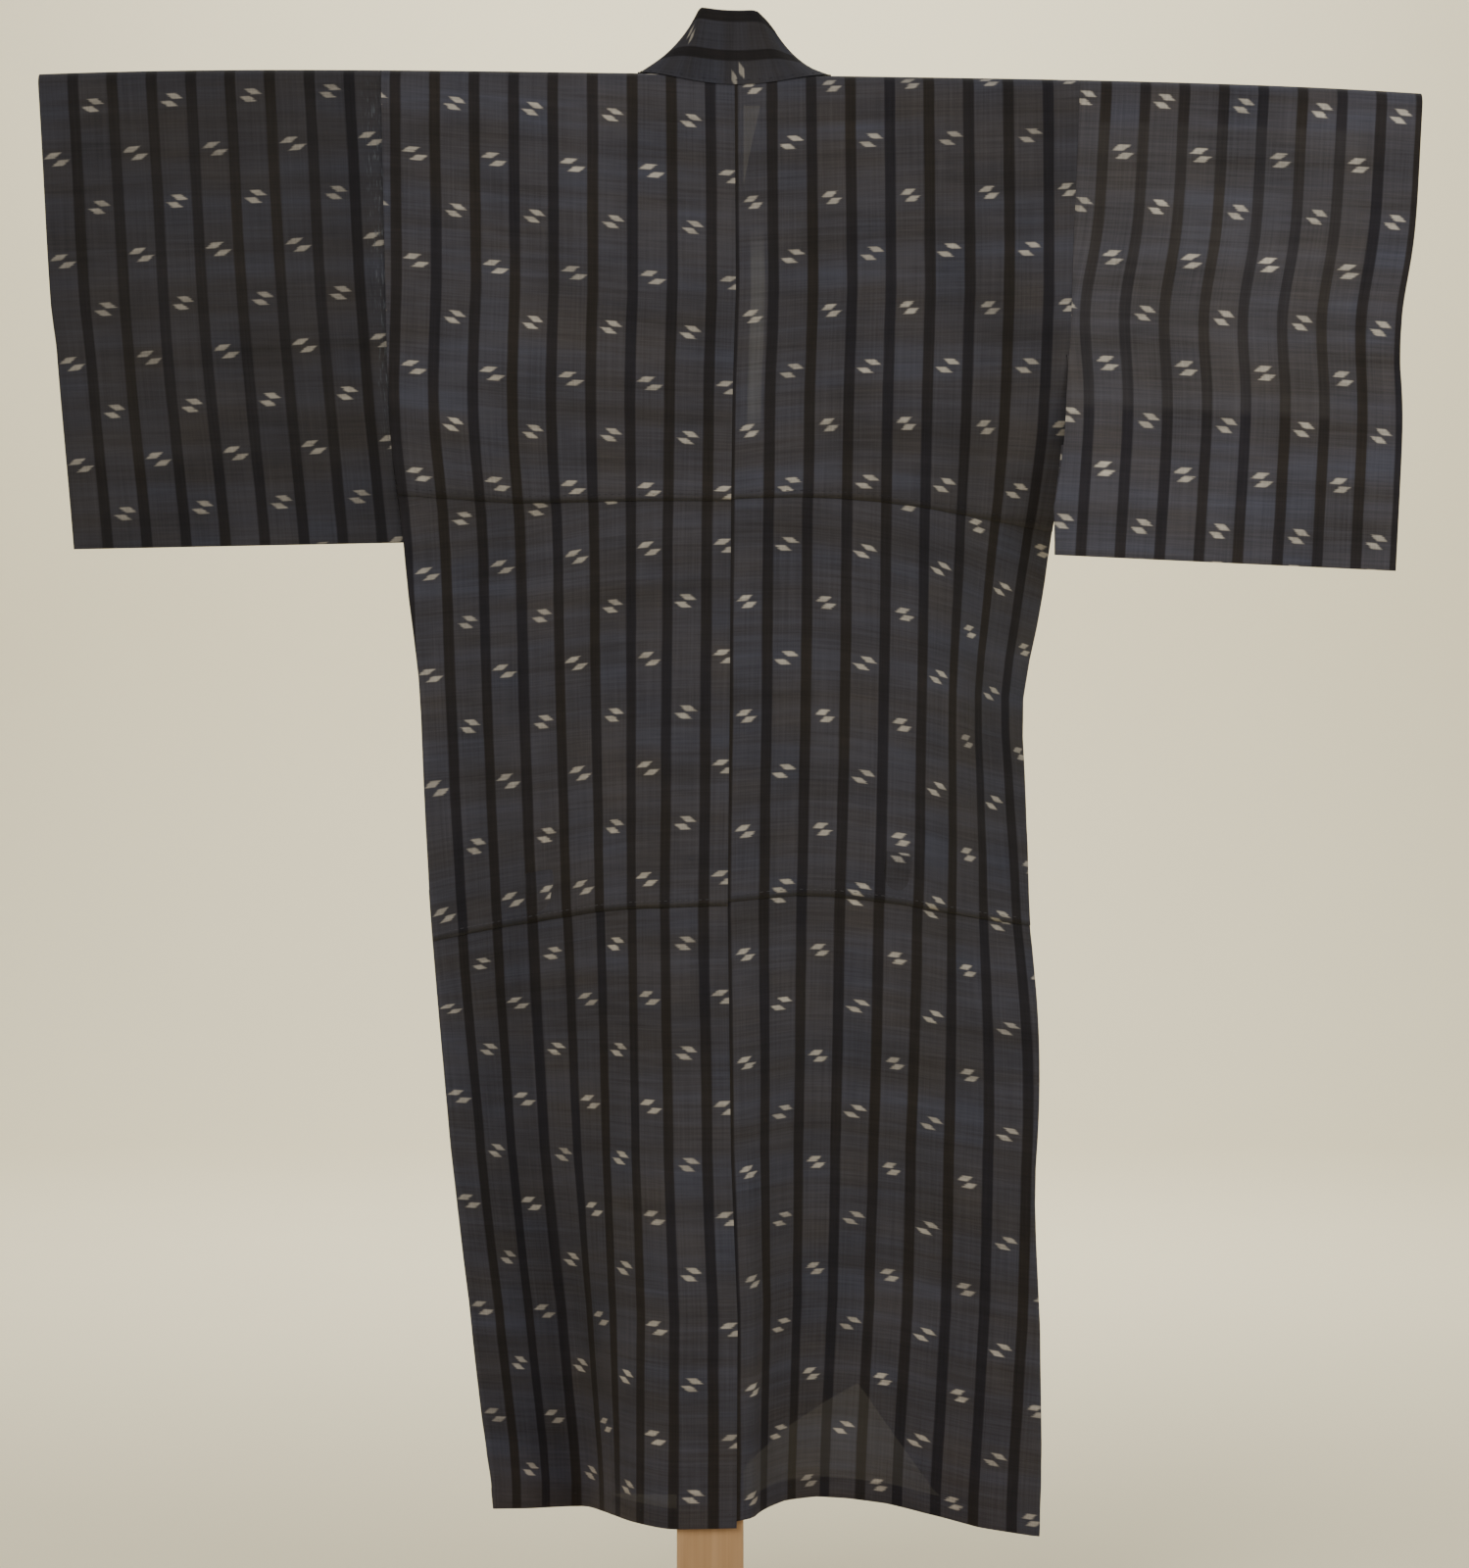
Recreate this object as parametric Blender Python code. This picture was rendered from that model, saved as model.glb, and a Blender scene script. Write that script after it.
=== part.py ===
"""A kimono of striped cloth on a wooden T-shaped stand, with its back towards -Y.

Metres, +Z up, +X to the right as the back is seen. The origin is on the floor, under the middle of the base.
Each piece of cloth is a sheet of quads with a wall: two body strips, each in a back and a front that meet on
top of the shoulder, tube sleeves, overlap panels at the front edges, and the collar band round the neck. The
right front is in three lengths, one below the other.
"""

from collections import namedtuple
import functools
import math

import bpy
import numpy as np

# Stand
BAR_RADIUS = 0.013
BAR_HALF_LENGTH = 0.615
BAR_SIDES = 20
BAR_SEGMENTS = 24
EDGE_DEGREES = 40
POST_LEFT = -0.0497
POST_RIGHT = 0.0103
POST_DEPTH = 0.025
POST_EDGE_BEVEL = 0.002
BASE_SIZE = (0.52, 0.42, 0.022)
BASE_EDGE_BEVEL = 0.004
SEAT_GAP = 0.0003
SADDLE_DROP = 0.004           # the post ends this far under the bar's middle line
SADDLE_CUT = 0.2

# Cloth
CLOTH = 0.0012
COLLAR_CLOTH = 0.0024
SEAM_GAP = 0.0003
FOLD_RADIUS = 0.0144          # middle of the cloth's wall where it turns over the bar
QUARTER_TURN = FOLD_RADIUS * math.pi / 2
ARC_ROWS = 5                  # rows of quads on each quarter turn over the bar

# Shoulder line: its height at the middle, how it tilts to the right and how its ends droop
SHOULDER_HEIGHT = 1.4204
SHOULDER_TILT = 0.0141
SHOULDER_DROOP = 0.0563

# Garment, measured down from the shoulder line
GARMENT_LENGTH = 1.295
SLEEVE_LENGTH = 0.427
SLEEVE_WIDTH = 0.3085
ARMHOLE_END = 0.28            # the sleeve is sewn on down to here
SIDE_SEAM_START = 0.43
NECK_HALF_WIDTH = 0.0855
NECK_DIP = 0.018              # the neck seam at the centre back, down from the shoulder line
WRIST_OPENING = 0.217
OVERLAP_START = 0.23          # the overlap panel's point, below the shoulder
OVERLAP_TIP = 0.025           # that is cut off the point
COLLAR_END = 0.63
COLLAR_WIDTH = 0.064
COLLAR_SLOPE = 0.054          # how the collar's seam draws in on the fronts, and how that quickens
COLLAR_CURVE = 0.389
COLLAR_BANDS = 3
COLLAR_FLAT_FROM = 0.16       # from here down the collar lies flat on the fronts
COLLAR_GAP = 0.0004
COLLAR_LIFT = 0.0009          # that holds the thicker collar clear of the bar
COLLAR_LIFT_FADE = (0.05, 0.12)
TUCK_DEPTH = 0.0009
TUCK_ROWS = (0.388, 0.746)    # two stitched tucks across the back
TUCK_STEP = 0.0025
TUCK_RUN = 0.06               # over which the cloth bellies out above a tuck

# The collar's direction from its seam round the back of the neck: how far it leans in, forward and up
CollarRow = namedtuple("CollarRow", "out across forward rise")
NECK_COLLAR = (
    CollarRow(0.0, 0.00, 0.06, 1.00),
    CollarRow(NECK_HALF_WIDTH * 0.25, 0.10, 0.06, 0.99),
    CollarRow(NECK_HALF_WIDTH * 0.50, 0.31, 0.07, 0.94),
    CollarRow(NECK_HALF_WIDTH * 0.75, 0.56, 0.08, 0.83),
    CollarRow(NECK_HALF_WIDTH, 0.76, 0.08, 0.66),
)
SHOULDER_LEAN = CollarRow(NECK_HALF_WIDTH, 0.78, 0.08, 0.62)

# Half widths of the back, from the centre seam to the side
WidthRow = namedtuple("WidthRow", "down left right")
BACK_WIDTHS = (
    WidthRow(0.0, 0.3215, 0.3095),
    WidthRow(0.40, 0.309, 0.306),
    WidthRow(0.48, 0.305, 0.309),
    WidthRow(0.55, 0.297, 0.308),
    WidthRow(0.70, 0.299, 0.296),
    WidthRow(1.00, 0.299, 0.289),
    WidthRow(1.25, 0.300, 0.307),
    WidthRow(1.295, 0.294, 0.306),
)

# How the centre seam wanders sideways
SeamRow = namedtuple("SeamRow", "down x")
CENTRE_SEAM = (
    SeamRow(0.0, 0.006),
    SeamRow(0.24, 0.004),
    SeamRow(0.40, -0.001),
    SeamRow(0.55, -0.002),
    SeamRow(0.75, -0.004),
    SeamRow(0.97, -0.001),
    SeamRow(1.11, 0.005),
    SeamRow(1.295, 0.004),
)

# Folds of the back: the angle in degrees by which the cloth turns away from -Y at a distance out from the
# centre seam. The columns are levels, from the armhole's end down to the hem
TiltRow = namedtuple("TiltRow", "out armhole sleeve_end waist hip thigh knee hem")
TILT_LEVELS = (0.28, 0.40, 0.55, 0.76, 0.97, 1.11, 1.27)
BACK_TILTS = {
    "left": (
        TiltRow(0.000, 0, 0, 0, 0, 0, 0, 0),
        TiltRow(0.046, 0, 0, 0, 2, 2, 1, 0),
        TiltRow(0.060, 0, 18, 22, 32, 34, 26, 20),
        TiltRow(0.078, 0, 20, 24, 34, 34, 32, 36),
        TiltRow(0.113, 0, 20, 26, 33, 40, 42, 55),
        TiltRow(0.149, 0, 18, 20, 28, 38, 52, 67),
        TiltRow(0.184, 0, 14, 18, 26, 36, 50, 52),
        TiltRow(0.196, 0, 0, 0, 0, 0, 0, 0),
        TiltRow(0.208, 0, -14, -18, -28, -38, -38, -44),
        TiltRow(0.255, 0, -22, -28, -30, -40, -40, -44),
        TiltRow(0.305, 0, -16, -20, -26, -28, -36, -40),
    ),
    "right": (
        TiltRow(0.000, 0, 0, 0, 0, 0, 0, 0),
        TiltRow(0.010, 0, 0, 0, 2, 4, 4, 4),
        TiltRow(0.019, 0, 0, 0, 12, 32, 54, 66),
        TiltRow(0.030, 0, 2, 2, 16, 34, 50, 58),
        TiltRow(0.048, 0, 4, 5, 20, 33, 42, 45),
        TiltRow(0.084, 0, 0, 0, 14, 15, 20, 30),
        TiltRow(0.120, 0, 0, 12, 0, 14, 18, 20),
        TiltRow(0.155, 0, 8, 4, 0, 12, 8, 12),
        TiltRow(0.190, 0, 24, 36, 28, 10, 8, -4),
        TiltRow(0.226, 0, 26, 50, 32, -8, -14, -22),
        TiltRow(0.262, 0, 24, 44, 24, -16, -14, -12),
        TiltRow(0.305, 0, 24, 48, 30, -16, -10, -8),
    ),
}
POST_PUSH = 0.004             # how far the post props the back out at the hem
POST_PUSH_SPAN = (0.6, 1.2)   # where that starts and is full, going down

# Height of the back's hem along each half
HemRow = namedtuple("HemRow", "out left right")
BACK_HEM = (
    HemRow(0.000, 0.1127, 0.1190),
    HemRow(0.030, 0.1120, 0.1245),
    HemRow(0.062, 0.1114, 0.1296),
    HemRow(0.097, 0.1125, 0.1291),
    HemRow(0.130, 0.1127, 0.1246),
    HemRow(0.165, 0.1110, 0.1184),
    HemRow(0.200, 0.1105, 0.1096),
    HemRow(0.250, 0.1160, 0.1000),
    HemRow(0.303, 0.1230, 0.0938),
)

# Fronts
FRONT_SWING = 0.078           # how far the fronts hang forward of the bar at the hem
FRONT_SWING_SPAN = (0.05, 1.2)
FRONT_REACH = 0.14            # how far in from the side seam they are fully forward
STEEP_CLEARANCE = 0.004       # added close to the side seam, where the back turns steeply
STEEP_SPAN = (0.30, 0.45)
FOLD_CLEARANCE = 0.008        # between the back's folds and the front behind them
FOLD_SPAN = (0.3, 0.7)
CROSSING_RUN = 0.05           # over which the left front rises onto the edge of the right one
FRONT_LAYER_GAP = 0.008       # between the under and over front where they cross
LAYER_SPAN = (0.02, 0.20)
CROSSING_MARGIN = 0.008
SIDE_SEAM_GAP = 0.0024        # between the walls' middles at the side seams
INNER_HEM_HEIGHT = 0.118      # the fronts' hem away from the side seams, before it rises
INNER_HEM_RUN = 0.16
FRONT_SEAM_HEM = {"left": 0.010, "right": 0.035}
FRONT_EDGE_HEM = {"left": 0.158, "right": -0.110}
# Where a front is split across, so that the collision pieces of a strongly curved one stay close to the cloth
FrontPart = namedtuple("FrontPart", "name top bottom")
FRONT_PARTS = {
    "left": (FrontPart("front_left", 0.0, GARMENT_LENGTH),),
    "right": (
        FrontPart("front_right_upper", 0.0, 0.44),
        FrontPart("front_right_middle", 0.44, 0.87),
        FrontPart("front_right_lower", 0.87, GARMENT_LENGTH),
    ),
}

# How the front hems rise towards the crossed edges
RiseRow = namedtuple("RiseRow", "x rise")
LEFT_FRONT_RISE = (
    RiseRow(-0.005, 0.0),
    RiseRow(0.015, 0.030),
    RiseRow(0.050, 0.062),
    RiseRow(0.087, 0.087),
    RiseRow(0.118, 0.104),
    RiseRow(0.160, 0.122),
)
RIGHT_FRONT_RISE = (
    RiseRow(-0.110, 0.185),
    RiseRow(0.050, 0.152),
    RiseRow(0.118, 0.104),
    RiseRow(0.144, 0.068),
    RiseRow(0.167, 0.040),
    RiseRow(0.185, 0.020),
    RiseRow(0.212, 0.0),
)

# Sleeves: heights of the bottom at the armhole and wrist ends, how far the wrist edge leans in by the bottom,
# how far it is drawn in below the wrist opening, and how far the free lower part stands off the body
SleeveShape = namedtuple("SleeveShape", "bottom_in bottom_out lean tuck_in slit")
SLEEVES = {
    "left": SleeveShape(0.9985, 0.9925, 0.031, 0.0, 0.0008),
    "right": SleeveShape(0.9874, 0.9730, 0.026, 0.009, 0.0048),
}
BOTTOM_HALF_GAP = 0.0013
WRIST_HALF_GAP = 0.0010
TAPER_START = 0.16            # where the two layers start to close towards the bottom
TAPER_SHARE = 0.35            # share of the width, from the armhole, over which that start moves up
WRIST_SHARE = 0.78            # share of the width from which the layers close towards the sewn wrist edge
WRIST_RUN = 0.044
TUCK_IN_BELOW = 0.03
TUCK_IN_RUN = 0.09

# Rows of quads, as distances down from the shoulder line
BACK_ROWS = (0.055, 0.12, 0.20, 0.28, 0.34, 0.44, 0.50, 0.56, 0.63, 0.69, 0.80, 0.87, 0.94,
             1.01, 1.08, 1.14, 1.19, 1.235, 1.27)
FRONT_ROWS = (0.055, 0.12, 0.20, 0.23, 0.28, 0.34, 0.38, 0.44, 0.50, 0.56, 0.63, 0.69, 0.75, 0.80, 0.87, 0.94,
              1.01, 1.08, 1.14, 1.19, 1.235)
NECK_COLUMNS = 6
SHOULDER_COLUMNS = 10
OVERLAP_COLUMNS = 6
SLEEVE_COLUMNS = 8
SLEEVE_ROWS = (0.06, 0.12, 0.18, WRIST_OPENING, 0.26, 0.31, 0.36, 0.40)
FINE_STEP = 0.002             # step of the sums along a section of the back

SIDE = {"left": -1.0, "right": 1.0}


def eased(low, high, value):
    """0 below low, 1 above high, smooth between."""
    t = np.clip((np.asarray(value, float) - low) / (high - low), 0.0, 1.0)
    return t * t * (3.0 - 2.0 * t)


def ramp(low, high, value):
    """0 below low, 1 above high, straight between."""
    return np.clip((np.asarray(value, float) - low) / (high - low), 0.0, 1.0)


def from_rows(rows, key, column, value):
    """Reads a column of a table at a value of its key, straight between rows."""
    return np.interp(value, [getattr(row, key) for row in rows], [getattr(row, column) for row in rows])


def shoulder_z(x):
    """Height of the cloth's top where it lies over the bar."""
    return SHOULDER_HEIGHT - SHOULDER_TILT * x - SHOULDER_DROOP * x**4


def bar_z(x):
    """Height of the bar's middle line."""
    return shoulder_z(x) - CLOTH / 2 - FOLD_RADIUS


def over_bar(x, down, side):
    """Depth and height of cloth that goes a distance down from the shoulder line, at the back (-1) or front (1)."""
    if down < QUARTER_TURN:
        angle = down / FOLD_RADIUS
        return side * FOLD_RADIUS * math.sin(angle), bar_z(x) + FOLD_RADIUS * math.cos(angle)
    return side * FOLD_RADIUS, bar_z(x) - (down - QUARTER_TURN)


def back_tilt(half, out, down):
    """Angle by which the back turns away from -Y, at a distance out from the centre seam."""
    rows = BACK_TILTS[half]
    at_level = [np.interp(down, (0.0, *TILT_LEVELS), (0.0, *row[1:])) for row in rows]
    return np.radians(np.interp(out, [row.out for row in rows], at_level))


def tuck_shift(down):
    """The cloth stands out a little just above each stitched tuck."""
    return sum(-TUCK_DEPTH * ramp(row - TUCK_RUN, row, down) for row in TUCK_ROWS if down < row + TUCK_STEP / 2)


def back_section(half, outs, down):
    """Points of the back at one distance down, for distances out from the centre seam, kept to the cloth's length."""
    width = float(from_rows(BACK_WIDTHS, "down", half, down))
    fine = np.linspace(0.0, width, int(width / FINE_STEP) + 1)
    tilt = back_tilt(half, (fine[1:] + fine[:-1]) / 2, down)
    step = fine[1] - fine[0]
    along_x = np.concatenate([[0.0], np.cumsum(np.cos(tilt) * step)])
    along_y = np.concatenate([[0.0], np.cumsum(np.sin(tilt) * step)])
    x = from_rows(CENTRE_SEAM, "down", "x", down) + SIDE[half] * np.interp(outs, fine, along_x)
    depth = np.interp(outs, fine, along_y) - POST_PUSH * eased(*POST_PUSH_SPAN, down) + tuck_shift(down)
    points = []
    for out, px, shift in zip(outs, x, depth):
        y, z = over_bar(px, down, -1.0)
        if down > QUARTER_TURN:
            top = bar_z(px)
            hem = float(from_rows(BACK_HEM, "out", half, out))
            z = top + (hem - top) * (down - QUARTER_TURN) / (GARMENT_LENGTH - QUARTER_TURN)
        points.append((px, y + shift * eased(0.0, QUARTER_TURN, down), z))
    return points


def side_edge(half, down):
    """The back's side edge at a distance down."""
    width = float(from_rows(BACK_WIDTHS, "down", half, down))
    return back_section(half, [width], down)[0]


def front_side_edge(half, down):
    """Sideways place and depth of the front's side edge: free at the armhole, at the side seam below it."""
    x, y, _ = side_edge(half, down)
    free = over_bar(x, down, 1.0)[0]
    closing = float(eased(ARMHOLE_END, SIDE_SEAM_START, down))
    return x, free + (y + SIDE_SEAM_GAP - free) * closing


@functools.lru_cache(maxsize=None)
def back_profile(down):
    """The whole back at one distance down, from side to side: its sideways places and depths."""
    points = []
    for half in ("left", "right"):
        width = float(from_rows(BACK_WIDTHS, "down", half, down))
        points.extend(back_section(half, np.linspace(0.001, width, 60), down))
    points.sort()
    return [p[0] for p in points], [p[1] for p in points]


def front_depth(half, x, down):
    """Depth of a front at a sideways place. The left front lies over the right one where they cross."""
    if down < QUARTER_TURN:
        return over_bar(x, down, 1.0)[0]
    fall = QUARTER_TURN + bar_z(x) - front_height(half, x, down)
    own = single_front_depth(half, x, down, fall)
    if half == "right":
        return own
    rise = float(from_rows(RIGHT_FRONT_RISE, "x", "rise", x))
    right_down = fall * GARMENT_LENGTH / (GARMENT_LENGTH - rise)
    band = COLLAR_WIDTH * (1.0 - float(ramp(COLLAR_END, COLLAR_END + 2 * CROSSING_RUN, right_down)))
    under_edge = overlap_edge_x("right", right_down) - band
    over = float(eased(under_edge - CROSSING_RUN, under_edge - CROSSING_MARGIN, x))
    layer = FRONT_LAYER_GAP * float(eased(*LAYER_SPAN, fall))
    return own + over * max(single_front_depth("right", x, fall, fall) + layer - own, 0.0)


def single_front_depth(half, x, down, fall):
    """Depth of one front by itself, a height down it and so far under the shoulder line.

    It leaves the side seam, clears the back's folds and hangs forward."""
    middle = FOLD_RADIUS + FRONT_SWING * float(eased(*FRONT_SWING_SPAN, fall))
    edge_x, edge_y = front_side_edge(half, down)
    inward = SIDE[half] * (edge_x - x)
    swung = edge_y + (middle - edge_y) * float(eased(0.0, FRONT_REACH, inward))
    clear = float(np.interp(x, *back_profile(round(fall, 4)))) + SIDE_SEAM_GAP
    clear += STEEP_CLEARANCE * float(eased(0.0, FRONT_REACH / 6, inward)) * float(eased(*STEEP_SPAN, fall))
    clear += FOLD_CLEARANCE * float(eased(0.0, FRONT_REACH / 2, inward)) * float(eased(*FOLD_SPAN, fall))
    return max(swung, clear)


def front_height(half, x, down):
    """Height of a front point. Rows close up where the hem rises towards the crossed edges."""
    if down < QUARTER_TURN:
        return over_bar(x, down, 1.0)[1]
    top = bar_z(x)
    table = {"left": LEFT_FRONT_RISE, "right": RIGHT_FRONT_RISE}[half]
    edge_x = side_edge(half, GARMENT_LENGTH)[0]
    side_hem = BACK_HEM[-1].left if half == "left" else BACK_HEM[-1].right
    level = side_hem + (INNER_HEM_HEIGHT - side_hem) * float(eased(0.0, INNER_HEM_RUN, SIDE[half] * (edge_x - x)))
    hem = level + float(from_rows(table, "x", "rise", x))
    return top + (hem - top) * (down - QUARTER_TURN) / (GARMENT_LENGTH - QUARTER_TURN)


def collar_seam_x(half, down):
    """Sideways place of the collar's seam line on a front, from the neck point to the overlap panel's edge."""
    return SIDE[half] * (NECK_HALF_WIDTH - COLLAR_SLOPE * down - COLLAR_CURVE * down**2) + CENTRE_SEAM[0].x


def front_inner_x(half, down):
    """Sideways place of a front's inner edge: the collar's seam, and below the point the overlap panel's seam."""
    if down <= OVERLAP_START:
        return collar_seam_x(half, down)
    share = (down - OVERLAP_START) / (GARMENT_LENGTH - OVERLAP_START)
    start = collar_seam_x(half, OVERLAP_START)
    return start + (FRONT_SEAM_HEM[half] - start) * share


def overlap_edge_x(half, down):
    """Sideways place of an overlap panel's front edge: along the collar, then down to the hem."""
    if down <= COLLAR_END:
        return collar_seam_x(half, down)
    share = (down - COLLAR_END) / (GARMENT_LENGTH - COLLAR_END)
    start = collar_seam_x(half, COLLAR_END)
    return start + (FRONT_EDGE_HEM[half] - start) * share


def front_point(half, x, down):
    return (x, front_depth(half, x, down), front_height(half, x, down))


def neck_row(out):
    """How far down the neck seam lies at a distance out from the centre."""
    return NECK_DIP * (1.0 - (out / NECK_HALF_WIDTH) ** 2)


def seam_clearance(half, down):
    """How far from the centre seam a back panel ends: further where it turns away, so the walls stay apart."""
    turned = float(back_tilt(half, np.array([0.0]), down)[0])
    return SEAM_GAP / 2 + CLOTH / 2 * abs(math.sin(turned))


def material(name, colour, roughness):
    made = bpy.data.materials.new(name)
    made.use_nodes = True
    shader = made.node_tree.nodes["Principled BSDF"]
    shader.inputs["Base Color"].default_value = (*colour, 1.0)
    shader.inputs["Roughness"].default_value = roughness
    return made


def new_object(name, points, faces, finish):
    mesh = bpy.data.meshes.new(name)
    mesh.from_pydata([tuple(float(c) for c in p) for p in points], [], faces)
    mesh.update()
    made = bpy.data.objects.new(name, mesh)
    bpy.context.scene.collection.objects.link(made)
    mesh.materials.append(finish)
    return made


def cloth_wall(name, points, faces, finish, wall=CLOTH):
    """One sheet of quads given an even wall on both sides of it, with closed edges."""
    sheet = new_object(name, points, faces, finish)
    solid = sheet.modifiers.new("wall", "SOLIDIFY")
    solid.thickness = wall
    solid.offset = 0.0
    solid.use_even_offset = True
    solid.use_rim = True
    sheet.data.shade_smooth()
    return sheet


def grid_faces(rows, columns, first=0, flip=False):
    """Quads of a grid whose points are listed row by row."""
    faces = []
    for j in range(rows - 1):
        for i in range(columns - 1):
            a = first + j * columns + i
            quad = (a, a + 1, a + columns + 1, a + columns)
            faces.append(quad[::-1] if flip else quad)
    return faces


def back_row_list():
    """Distances down for the back's rows below the turn over the bar, with a close pair at each tuck."""
    pairs = [row + shift for row in TUCK_ROWS for shift in (-TUCK_STEP / 2, TUCK_STEP / 2)]
    return sorted([*BACK_ROWS, *pairs, GARMENT_LENGTH])


def back_panel(half, finish):
    """The back of a body strip, from the hem to the top of the shoulder, with the neck cut out of it."""
    neck = [NECK_HALF_WIDTH * i / NECK_COLUMNS for i in range(NECK_COLUMNS)]
    shares = [i / SHOULDER_COLUMNS for i in range(SHOULDER_COLUMNS + 1)]
    columns = NECK_COLUMNS + SHOULDER_COLUMNS + 1

    def outs_at(down):
        width = float(from_rows(BACK_WIDTHS, "down", half, down))
        outs = neck + [NECK_HALF_WIDTH + (width - NECK_HALF_WIDTH) * s for s in shares]
        outs[0] = seam_clearance(half, down)
        return outs

    points = []
    for j in range(ARC_ROWS + 1):
        for i in range(columns):
            out = outs_at(0.0)[i]
            top = neck_row(out) if out < NECK_HALF_WIDTH else 0.0
            down = top + (QUARTER_TURN - top) * j / ARC_ROWS
            points.append(back_section(half, [out], down)[0])
    for down in back_row_list():
        points.extend(back_section(half, outs_at(down), down))
    rows = ARC_ROWS + 1 + len(back_row_list())
    return cloth_wall(f"back_{half}", points, grid_faces(rows, columns, flip=half == "right"), finish)


def front_panel(half, finish):
    """The front of a body strip, from the top of the shoulder to the hem, in one or more solids."""
    sign = SIDE[half]
    rows = [*(QUARTER_TURN * j / ARC_ROWS for j in range(1, ARC_ROWS + 1)), *FRONT_ROWS]
    for part in FRONT_PARTS[half]:
        downs = [part.top + SEAM_GAP, *(row for row in rows if part.top < row < part.bottom), part.bottom]
        points = []
        for down in downs:
            edge_x = front_side_edge(half, down)[0]
            inner_x = front_inner_x(half, down)
            if down > OVERLAP_START:
                inner_x += sign * SEAM_GAP / 2
            for i in range(SHOULDER_COLUMNS + 1):
                points.append(front_point(half, inner_x + (edge_x - inner_x) * i / SHOULDER_COLUMNS, down))
        faces = grid_faces(len(downs), SHOULDER_COLUMNS + 1, flip=half == "left")
        cloth_wall(part.name, points, faces, finish)


def sleeve_place(half, share, down, side):
    """A sleeve point at a share of its width from the armhole, a distance down, on its back or front layer."""
    sign = SIDE[half]
    shape = SLEEVES[half]
    edge_x = side_edge(half, down)[0]
    inner_x = edge_x + sign * (SEAM_GAP + shape.slit * float(eased(ARMHOLE_END, SLEEVE_LENGTH, down)))
    outer_x = side_edge(half, 0.0)[0] + sign * (SLEEVE_WIDTH - shape.lean * down / SLEEVE_LENGTH)
    outer_x -= sign * shape.tuck_in * math.exp(-(((down - WRIST_OPENING - TUCK_IN_BELOW) / TUCK_IN_RUN) ** 2))
    x = inner_x + (outer_x - inner_x) * share
    open_half, z = over_bar(x, down, side)
    if down > QUARTER_TURN:
        low = shape.bottom_in + (shape.bottom_out - shape.bottom_in) * share
        z = bar_z(x) + (low - bar_z(x)) * (down - QUARTER_TURN) / (SLEEVE_LENGTH - QUARTER_TURN)
    starts = ARMHOLE_END + (TAPER_START - ARMHOLE_END) * float(eased(0.0, TAPER_SHARE, share))
    bottom = float(eased(starts, SLEEVE_LENGTH, down))
    wrist = float(eased(WRIST_SHARE, 1.0, share)) * float(eased(WRIST_OPENING, WRIST_OPENING + WRIST_RUN, down))
    half_gap = BOTTOM_HALF_GAP + (FOLD_RADIUS - BOTTOM_HALF_GAP) * (1.0 - bottom)
    half_gap = WRIST_HALF_GAP + (half_gap - WRIST_HALF_GAP) * (1.0 - wrist)
    return (x, open_half * half_gap / FOLD_RADIUS, z)


def sleeve(half, finish):
    """A sleeve: one strip folded over the bar, closed along its bottom and at the wrist below the opening."""
    sign = SIDE[half]
    shares = [i / SLEEVE_COLUMNS for i in range(SLEEVE_COLUMNS + 1)]
    arc = [QUARTER_TURN * j / ARC_ROWS for j in range(ARC_ROWS + 1)]
    layer = [*arc, *SLEEVE_ROWS, SLEEVE_LENGTH]
    loop = [(down, -1.0) for down in reversed(layer)] + [(down, 1.0) for down in layer[1:]]
    points = [sleeve_place(half, share, down, side) for down, side in loop for share in shares]
    columns = len(shares)
    faces = grid_faces(len(loop), columns, flip=sign < 0)
    last = (len(loop) - 1) * columns
    for i in range(columns - 1):
        quad = (last + i, last + i + 1, i + 1, i)
        faces.append(quad[::-1] if sign < 0 else quad)
    return cloth_wall(f"sleeve_{half}", points, faces, finish)


def overlap_panel(half, finish):
    """The narrow panel sewn to a front's inner edge, pointed at the top along the collar."""
    sign = SIDE[half]
    shares = [i / OVERLAP_COLUMNS for i in range(OVERLAP_COLUMNS + 1)]
    tip = OVERLAP_START + OVERLAP_TIP
    downs = [tip, *(d for d in FRONT_ROWS if d > tip + BAR_RADIUS), GARMENT_LENGTH]
    points = []
    for down in downs:
        seam_x = front_inner_x(half, down) - sign * SEAM_GAP / 2
        edge_x = overlap_edge_x(half, down)
        points.extend(front_point(half, seam_x + (edge_x - seam_x) * s, down) for s in shares)
    faces = grid_faces(len(downs), len(shares), flip=sign < 0)
    return cloth_wall(f"overlap_{half}", points, faces, finish)


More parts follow.
